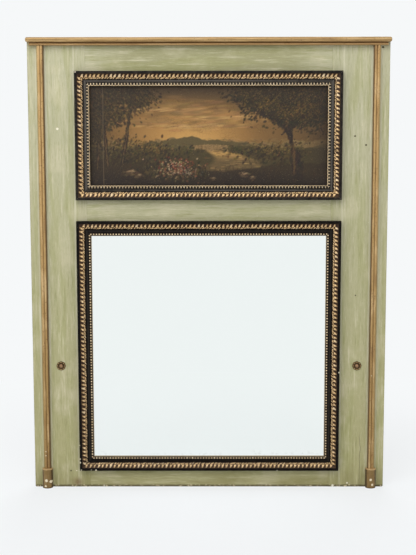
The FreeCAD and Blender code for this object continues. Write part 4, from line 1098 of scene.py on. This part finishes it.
def along(points, loose):
    """Draws places near a line through those points."""
    xs, zs = zip(*points)

    def place():
        at = brush.uniform(0, len(points) - 1)
        steps = range(len(points))
        x, z = np.interp(at, steps, xs), np.interp(at, steps, zs)
        return brush.normal(x, loose), brush.normal(z, loose)

    return place


def ridge(height, rough, seed):
    """A wandering skyline."""
    line = np.full(ACROSS + 1, float(height))
    chance = np.random.default_rng(seed)
    for octave in range(1, 6):
        knots = chance.normal(0, rough / octave**1.3, 3 * 2**octave)
        line += np.interp(across[0], np.linspace(0, PICTURE_WIDTH, len(knots)), knots)
    return line


# Sky: umber at its top and corners, gold low in the middle, with drawn-out clouds.
wash(up * 0 + 1, (112, 92, 58))
wash(glow(0.95, 0.52, 0.85, 0.36) * 0.95, (190, 150, 88))
wash(glow(1.0, 0.47, 0.4, 0.16) * 0.9, (226, 188, 118))
wash((up - 0.68) * 1.6, (84, 74, 50))
CLOUDS = ((0.75, 0.78, 0.3, 0.04), (1.25, 0.7, 0.25, 0.035), (0.95, 0.62, 0.35, 0.03))
for x, z, wide, high in CLOUDS:
    warm = ((204, 166, 104), (170, 140, 92), (136, 112, 74))
    touches(200, spread(x, z, wide, high), 0.07, 0.013, 0.06, warm, 0.32, 0.07)
    sunlit = spread(x, z - high, wide * 0.7, high * 0.4)
    touches(50, sunlit, 0.05, 0.007, 0.05, ((232, 200, 138),), 0.35, 0.06)

# Far hills, grey with distance, and the river that comes down from them to the right.
for height, rough, colour, seed in (
    (0.47, 0.035, (150, 130, 88), 3),
    (0.43, 0.03, (112, 102, 66), 4),
    (0.385, 0.022, (84, 76, 44), 5),
):
    line = ridge(height, rough, seed)
    wash((line[None, :] - up) * 90, colour)
    light = tuple(channel * 1.25 for channel in colour)
    dark = tuple(channel * 0.7 for channel in colour)

    def slopes():
        return brush.uniform(0.2, 2.1), height - brush.uniform(0, 0.06)

    touches(240, slopes, 0.026, 0.006, -0.1, (light, dark, colour), 0.45)
bank = 1.02 + 0.16 * np.sin((0.4 - up) * 14)
river = np.clip((across - bank - (0.36 - up) * 0.1) * 16, 0, 1)
river *= np.clip((bank + 0.12 + (0.4 - up) * 2.6 - across) * 16, 0, 1)
river *= np.clip((0.37 - up) * 60, 0, 1) * np.clip((up - 0.13) * 30, 0, 1)
wash(river, (122, 106, 70))
wash(river * np.exp(-(((up - 0.34) / 0.05) ** 2)), (212, 178, 112))


def water():
    """Draws places on the river, spread wider as it comes nearer."""
    z = brush.uniform(0.15, 0.36)
    middle = 1.14 + 0.14 * math.sin((0.4 - z) * 14) + (0.4 - z) * 1.25
    return middle + brush.normal(0, 0.05 + (0.36 - z) * 0.8), z


ripples = ((214, 182, 122), (158, 134, 86), (90, 78, 50))
touches(190, water, 0.03, 0.004, 0, ripples, 0.5, 0.03)

# A low bridge of two arches, pale on its sunny side.
for x in np.linspace(1.0, 1.36, 60):
    top = 0.405 + 0.012 * math.sin((x - 1.0) / 0.36 * math.pi)
    arch = 0.0
    for middle in (1.09, 1.26):
        arch += 0.03 * max(0.0, math.cos((x - middle) / 0.06)) * (abs(x - middle) < 0.09)
    for z in np.arange(0.345 + arch, top, 0.007):
        tone = brush.uniform(0.75, 1.1)
        dab(x, z, 0.008, 0.005, 0, np.array((176, 150, 104)) * tone, 0.8)
scrub = ((60, 56, 30), (96, 86, 46))
for x in (1.0, 1.4):
    touches(60, spread(x, 0.37, 0.05, 0.016), 0.014, 0.01, 0.8, scrub, 0.8)

# Middle bank and its bushes.
near = ridge(0.25, 0.03, 9) + 0.06 * np.exp(-(((across[0] - 0.35) / 0.4) ** 2))
near -= 0.1 * np.exp(-(((across[0] - 1.45) / 0.4) ** 2))
wash((near[None, :] - up) * 60, (66, 54, 28))
greens = ((52, 44, 22), (78, 68, 34), (104, 90, 46), (40, 32, 18))
BUSHES = ((0.62, 0.34, 0.13, 0.045), (0.3, 0.36, 0.2, 0.07), (1.78, 0.33, 0.16, 0.05))
for x, z, wide, high in BUSHES:
    touches(420, spread(x, z, wide, high), 0.014, 0.009, 0.9, greens, 0.75)
    lit = spread(x + 0.02, z + high * 0.8, wide * 0.8, high * 0.5)
    touches(120, lit, 0.009, 0.006, 0.9, ((146, 124, 66), (170, 142, 80)), 0.6)

# The great oak on the right: trunk, boughs, then its leaves from dark to light.
TRUNK = ((2.02, 0.08), (1.99, 0.3), (1.93, 0.5), (1.95, 0.75))
BOUGHS = (TRUNK[1:], ((1.95, 0.5), (1.8, 0.66), (1.66, 0.72)))
BOUGHS += (((1.95, 0.58), (2.1, 0.74), (2.24, 0.8)),)
bark = ((46, 33, 19), (66, 48, 27), (34, 25, 15))
touches(420, along(TRUNK[:2], 0.018), 0.034, 0.01, 1.5, bark, 0.85)
for bough in BOUGHS:
    touches(160, along(bough, 0.008), 0.026, 0.008, 1.5, bark, 0.85)
touches(70, along(((1.98, 0.12), (1.965, 0.42)), 0.006), 0.02, 0.004, 1.5, ((122, 96, 56),), 0.6)
oak = ((38, 32, 17), (52, 45, 22), (66, 56, 28))
CROWN = ((1.95, 0.88, 0.2, 0.09), (1.72, 0.79, 0.12, 0.06), (2.16, 0.76, 0.12, 0.1))
CROWN += ((1.56, 0.9, 0.1, 0.06), (2.02, 0.7, 0.16, 0.06))
for x, z, wide, high in CROWN:
    touches(900, spread(x, z, wide, high), 0.014, 0.009, 0.8, oak, 0.85)
for x, z, wide, high in CROWN:
    lit = spread(x - 0.03, z + high * 0.3, wide * 0.85, high * 0.7)
    touches(260, lit, 0.009, 0.006, 0.8, ((98, 84, 40), (126, 104, 52), (84, 72, 34)), 0.6)
    touches(70, lit, 0.007, 0.005, 0.8, ((168, 136, 72),), 0.6)

# Slim trees on the left, with pale trunks against their own shade.
for x, lean, top in ((0.1, 0.02, 0.92), (0.2, -0.03, 0.96), (0.33, 0.05, 0.86)):
    trunk = ((x, 0.2), (x + lean, 0.5), (x + 2 * lean, top))
    touches(220, along(trunk, 0.005), 0.03, 0.006, 1.55, ((64, 50, 30), (44, 34, 20)), 0.8)
    touches(60, along(trunk, 0.003), 0.02, 0.0035, 1.55, ((150, 124, 82),), 0.6)
LEAFAGE = ((0.12, 0.86, 0.12, 0.09), (0.34, 0.9, 0.12, 0.07), (0.24, 0.7, 0.1, 0.06))
LEAFAGE += ((0.5, 0.84, 0.07, 0.05), (0.05, 0.6, 0.06, 0.09))
for x, z, wide, high in LEAFAGE:
    touches(620, spread(x, z, wide, high), 0.012, 0.008, 2.2, oak + ((80, 68, 34),), 0.8)
    lit = spread(x + 0.03, z + high * 0.3, wide * 0.8, high * 0.7)
    touches(160, lit, 0.008, 0.005, 2.2, ((134, 110, 56), (108, 92, 46)), 0.6)

# The near bank: shade, grass, stones and a bush in flower.
wash((0.17 - up + 0.03 * np.sin(across * 5)) * 9, (44, 31, 17))


def near_bank():
    """Draws places all over the near bank."""
    return brush.uniform(0, 2.3), brush.uniform(0, 0.2)


grass = ((74, 56, 28), (52, 38, 20), (96, 76, 38))
touches(700, near_bank, 0.02, 0.005, 1.2, grass, 0.5)
STONES = ((0.42, 0.15, 0.05), (0.5, 0.12, 0.035), (1.5, 0.13, 0.045))
STONES += ((1.58, 0.1, 0.03), (1.2, 0.09, 0.03))
stone = ((142, 122, 92), (110, 92, 66), (82, 66, 44))
for x, z, size in STONES:
    heap = spread(x, z, size * 0.5, size * 0.25)
    touches(46, heap, size * 0.4, size * 0.2, 0.1, stone, 0.7)
    sunny = spread(x, z + size * 0.3, size * 0.4, size * 0.08)
    touches(14, sunny, size * 0.3, size * 0.1, 0.1, ((196, 176, 138),), 0.7)
FLOWERING = ((0.82, 0.2, 0.11, 0.06), (0.98, 0.15, 0.08, 0.04), (0.68, 0.14, 0.06, 0.03))
for x, z, wide, high in FLOWERING:
    touches(420, spread(x, z, wide, high), 0.016, 0.009, 1.3, greens, 0.85)
BLOOM = (((206, 184, 146), 90), ((178, 122, 98), 80), ((140, 58, 40), 60), ((222, 206, 172), 40))
for colour, count in BLOOM:
    place = spread(brush.uniform(0.78, 0.9), brush.uniform(0.17, 0.22), 0.1, 0.045)
    touches(count, place, 0.009, 0.007, 0.5, (colour,), 0.85)
pale_bloom = ((112, 118, 112), (160, 150, 128))
touches(40, spread(1.0, 0.14, 0.06, 0.03), 0.008, 0.006, 0.5, pale_bloom, 0.8)

# Old varnish: everything a little browner, and darker towards the edges.
border = np.minimum.reduce((across, PICTURE_WIDTH - across, up * 1.2, (1 - up) * 1.2))
wash(0.45 * np.exp(-((border / 0.16) ** 2)), (38, 27, 16))
wash(up * 0 + 0.1, (96, 66, 36))
oils = oils**1.24

# The painted front, and behind it the linen that is turned over the bars.
front_x = np.linspace(CANVAS_LOW.x, CANVAS_HIGH.x, ACROSS + 1)
front_z = np.linspace(CANVAS_LOW.z, CANVAS_HIGH.z, UP + 1)
grid_x, grid_z = np.meshgrid(front_x, front_z)
from_edge = np.minimum.reduce((
    grid_x - CANVAS_LOW.x, CANVAS_HIGH.x - grid_x, grid_z - CANVAS_LOW.z, CANVAS_HIGH.z - grid_z
))
loose = np.clip((from_edge - BAR_WIDTH) / 0.02, 0, 1)
waves = 0.6 + 0.4 * np.sin(grid_x * 21 + 2 * np.sin(grid_z * 17)) * np.cos(grid_z * 23)
grid_y = CANVAS_LOW.y + SLACK * loose * waves + np.where(from_edge < 0.0001, 0.0005, 0)
faces, rim = sheet_faces(ACROSS, UP)
shell = [np.stack((grid_x, grid_y, grid_z), axis=-1).reshape(-1, 3)]
outer = shell[0][rim]
inner = outer.copy()
for axis, low, high in ((0, CANVAS_LOW.x, CANVAS_HIGH.x), (2, CANVAS_LOW.z, CANVAS_HIGH.z)):
    inner[:, axis] = np.clip(inner[:, axis], low + LINEN, high - LINEN)
for ring, depth in ((outer, CANVAS_HIGH.y), (inner, CANVAS_HIGH.y), (inner, CANVAS_LOW.y + LINEN)):
    turned = ring.copy()
    turned[:, 1] = depth
    shell.append(turned)
points = np.concatenate(shell)
first = (UP + 1) * (ACROSS + 1)
rings = [rim]
for start in (first, first + len(rim), first + 2 * len(rim)):
    rings.append(list(range(start, start + len(rim))))
for near_ring, far_ring in zip(rings, rings[1:]):
    for here in range(len(rim)):
        beside = (here + 1) % len(rim)
        faces.append((near_ring[here], far_ring[here], far_ring[beside], near_ring[beside]))
faces.append(tuple(rings[-1]))
mesh = bpy.data.meshes.new("oil_painting")
mesh.from_pydata(points.tolist(), [], faces)
steps = np.clip(oils, 0, 1)
linear = np.where(steps <= 0.04045, steps / 12.92, ((steps + 0.055) / 1.055) ** 2.4)
pigment = np.ones((len(points), 4))
pigment[:, :3] = LINEN_COLOUR[:3]
pigment[:first, :3] = linear.reshape(-1, 3)
colours = mesh.attributes.new("oils", "FLOAT_COLOR", "POINT")
colours.data.foreach_set("color", pigment.ravel())
mesh.set_sharp_from_angle(angle=SHARP)

painted, place = new_finish("oil paint on linen")
x, y, z = place.parts()
pigment = place.node("Attribute", {"attribute_name": "oils"}, out="Color")
weave_x = (x * 5200 + place.grain(40, 0, 90) * 5).sine()
weave_z = (z * 5200 + place.grain(90, 0, 40) * 5).sine()
weave = weave_x * weave_z * 0.5 + 0.5
cells = {"Vector": place.node("VectorMath", {"operation": "ADD"}, {0: place, 1: (0.3, 0, 0.1)})}
cells["Scale"] = 95.0
cracks = place.node("TexVoronoi", {"feature": "DISTANCE_TO_EDGE"}, cells).rise(0.06, 0.01)
worn = place.grain(16, 16, 16, detail=4.0)
cracks = cracks * worn.rise(0.42, 0.66)
half = FRONT_SIZE[0] / 2 - BAR_WIDTH
bowed = abs(x) + (place.grain(0, 0, 9) - 0.5) * 0.006
crease = abs(bowed - half).rise(0.0022, 0.0006) * x.rise(0.1, -0.1)
bloom = place.grain(260, 260, 260, detail=4.0)
# The varnish has darkened and yellowed.
colour = (cracks * 0.3).over(pigment.stretched(0.86, 0.81, 0.82), paint(38, 27, 16))
colour = ((weave * bloom).rise(0.34, 0.62) * 0.2).over(colour, paint(150, 130, 100))
colour = (crease * 0.3).over(colour, paint(118, 98, 74))
colour = (bloom.rise(0.66, 0.74) * 0.35).over(colour, paint(176, 156, 120))
raw = facing(place)[1].rise(-0.6, -0.4)
colour = (weave * 0.4).over(raw.over(colour, LINEN_COLOUR), raw.over(colour, paint(112, 94, 68)))
rough = (0.34 + bloom * 0.2 + cracks * 0.2) * (1 - raw) + raw * 0.9
relief = weave * 0.5 + bloom * 0.3 + crease - cracks
coat(colour, rough, relief, 0.0003, Specular_IOR_Level=0.3)
canvas = settle("oil_painting", mesh, painted, "painted_canvas", "canvas")

# ---------------------------------------------------------------- stretcher
# Four splined pine bars and a crossbar keep the canvas taut, with hardwood keys in their
# corners. They are planed, unpainted and darkened by age.

stretcher_pine, place = new_finish("stretcher pine")
colour, rough, relief = bare_pine(place, upright=False, age=0.3)
coat(colour, rough, relief, 0.0005)
key_wood, place = new_finish("key hardwood")
fibres = place.grain(40, 400, 400, detail=4.0)
colour = fibres.rise(0.35, 0.65).over(paint(150, 112, 70), paint(108, 74, 42))
coat(colour, 0.55 + fibres * 0.2, fibres, 0.0003)
for bar in ("bottom", "top", "left", "right", "crossbar"):
    softened("stretcher_" + bar, stretcher_pine, "stretcher_pine")
refinish("stretcher_keys", key_wood)

# ---------------------------------------------------------------- mirror plate
# A later, clean plate of float glass, silvered and painted on the back, which lies in its
# frame's rebate. The silvering has dulled a little in spots along the foot.

PLATE_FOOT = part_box("mirror_glass")[0].z
PLATE_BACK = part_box("mirror_glass")[1].y
plate_finish, place = new_finish("silvered plate")
_, y, z = place.parts()
haze = place.grain(9, 9, 9, detail=4.0)
spots = place.grain(120, 120, 120, detail=3.0)
foxing = (z + (haze - 0.5) * 0.06).rise(PLATE_FOOT + 0.03, PLATE_FOOT + 0.012)
foxing = foxing * spots.rise(0.52, 0.62)
silver = (haze * 0.25).over(paint(247, 251, 249), paint(240, 246, 243))
silver = (foxing * 0.16).over(silver, paint(186, 188, 180))
behind = y.rise(PLATE_BACK - 0.0012, PLATE_BACK - 0.0004)
backing = haze.rise(0.3, 0.7).over(paint(92, 84, 78), paint(72, 62, 56))
colour = behind.over(silver, backing)
rough = 0.012 + haze * 0.012 + foxing * 0.05 + behind * 0.5
coat(colour, rough, spots, 0.000002, Metallic=1 - behind)
softened("mirror_glass", plate_finish, "mirror_plate", arris=0.0005)

# ---------------------------------------------------------------- glue blocks
# Pine blocks wedge the plate in its opening, stuck with hide glue that has run and yellowed.

block_pine, place = new_finish("glued pine block")
glue = place.grain(90, 90, 90, detail=3.0, bend=0.5)
colour, rough, relief = bare_pine(place, upright=False, age=0.15)
colour = (glue.rise(0.5, 0.6) * 0.8).over(colour, paint(122, 78, 32))
coat(colour, rough - glue.rise(0.5, 0.6) * 0.35, relief + glue, 0.0006)
refinish("glass_blocks", block_pine)

# ---------------------------------------------------------------- backing boards
# Three sawn pine boards close the back of the plate, nailed over the opening. The saw left
# upright ridges, and the wood has greyed and taken up dirt.

sawn_pine, place = new_finish("sawn backing pine")
ridges = (place.parts()[0] * 2100 + place.grain(3, 3, 20) * 30).sine() * 0.5 + 0.5
colour, rough, relief = bare_pine(place, upright=False, age=0.42)
colour = (ridges * 0.22).over(colour, paint(96, 80, 62))
coat(colour, rough, relief * 0.5 + ridges * 0.5, 0.0007)
for level in ("lower", "middle", "upper"):
    softened("back_board_" + level, sawn_pine, "backing_pine")

# ---------------------------------------------------------------- hanger plates
# A forged iron plate is screwed to the back of each stile, with its hole over a recess that
# takes the head of the wall screw.

forged_iron, place = new_finish("forged iron")
hammered = place.grain(130, 130, 130, detail=2.0)
scale = place.grain(420, 420, 420, detail=4.0)
colour = scale.rise(0.4, 0.62).over(paint(62, 57, 54), paint(112, 70, 42))
coat(colour, 0.42 + scale * 0.4, hammered * 0.7 + scale * 0.3, 0.0008, Metallic=0.75)
for side in ("left", "right"):
    refinish(side + "_hanger", forged_iron)

# ---------------------------------------------------------------- studio
# A pale floor runs out into a white backdrop, under a wide soft lamp above the camera, a
# fainter one at each side and a low one behind, with the camera where the photo was taken.

CAMERA_PLACE = (0.0132, -3.701, 1.1446)
CAMERA_TURN = (math.radians(90 - 7.358), math.radians(0.073), math.radians(0.234))
PICTURE_HEIGHT_PX = 555
FOCAL_LENGTH_PX = 1200
SENSOR = 36.0
BACKDROP = paint(246, 248, 249)
FLOOR_SIZE = 30.0
# How far the floor by the object's foot is already as white as the backdrop.
FLOOR_GLOW = 0.7


def seen_white(place):
    """1 for the camera, and in mirrors and clear glass; 0 for light that falls on things."""
    kinds = ("Is Camera Ray", "Is Glossy Ray", "Is Transmission Ray")
    camera, glossy, through = (place.node("LightPath", out=kind) for kind in kinds)
    return camera.most(glossy).most(through)


world = bpy.data.worlds.new("studio")
world.use_nodes = True
world.node_tree.nodes.clear()
sky = Wire(world.node_tree.nodes.new("ShaderNodeTexCoord").outputs["Object"])
white = seen_white(sky)
colour = white.over(paint(212, 212, 212), BACKDROP)
output = world.node_tree.nodes.new("ShaderNodeOutputWorld")
lit = sky.node("Background", (), {"Color": colour, "Strength": white * 0.35 + 0.65})
world.node_tree.links.new(lit.socket, output.inputs["Surface"])
bpy.context.scene.world = world

floor_finish, place = new_finish("pale floor")
pale = place.node("BsdfDiffuse", (), {"Color": paint(243, 246, 249)})
shine = place.node("Emission", (), {"Color": BACKDROP, "Strength": 1.0})
far = place.node("VectorMath", {"operation": "LENGTH"}, {0: place}, out="Value").rise(0.5, 1.8)
bright = (FLOOR_GLOW + far * (1 - FLOOR_GLOW)) * seen_white(place)
faded = place.node("MixShader", (), {0: bright, 1: pale, 2: shine})
output = place.socket.id_data.nodes.new("ShaderNodeOutputMaterial")
place.socket.id_data.links.new(faded.socket, output.inputs["Surface"])
reach = FLOOR_SIZE / 2
corners = [(-reach, -reach, 0), (reach, -reach, 0), (reach, reach, 0), (-reach, reach, 0)]
mesh = bpy.data.meshes.new("floor")
mesh.from_pydata(corners, [], [(0, 1, 2, 3)])
mesh.materials.append(floor_finish)
in_scene("floor", mesh)


def soft_lamp(name, at, towards, size, power):
    """A square lamp that faces a point."""
    lamp = bpy.data.lights.new(name, "AREA")
    lamp.size = size
    lamp.energy = power
    holder = in_scene(name, lamp)
    holder.location = at
    holder.rotation_euler = (Vector(at) - Vector(towards)).to_track_quat("Z", "Y").to_euler()


soft_lamp("overhead lamp", (-0.5, -2.2, 3.2), (0, 0, 0.9), 2.2, 62)
soft_lamp("left lamp", (-3.2, -2.4, 1.8), (0, 0, 0.7), 1.6, 26)
soft_lamp("right lamp", (3.2, -2.6, 1.5), (0, 0, 0.7), 1.6, 12)
soft_lamp("rear lamp", (0.4, 3.0, 2.6), (0, 0, 0.7), 2.2, 60)

lens = bpy.data.cameras.new("camera")
lens.sensor_width = SENSOR
lens.lens = FOCAL_LENGTH_PX / PICTURE_HEIGHT_PX * SENSOR
camera = in_scene("camera", lens)
camera.location = CAMERA_PLACE
camera.rotation_euler = CAMERA_TURN
bpy.context.scene.camera = camera
bpy.context.scene.view_settings.view_transform = "Standard"
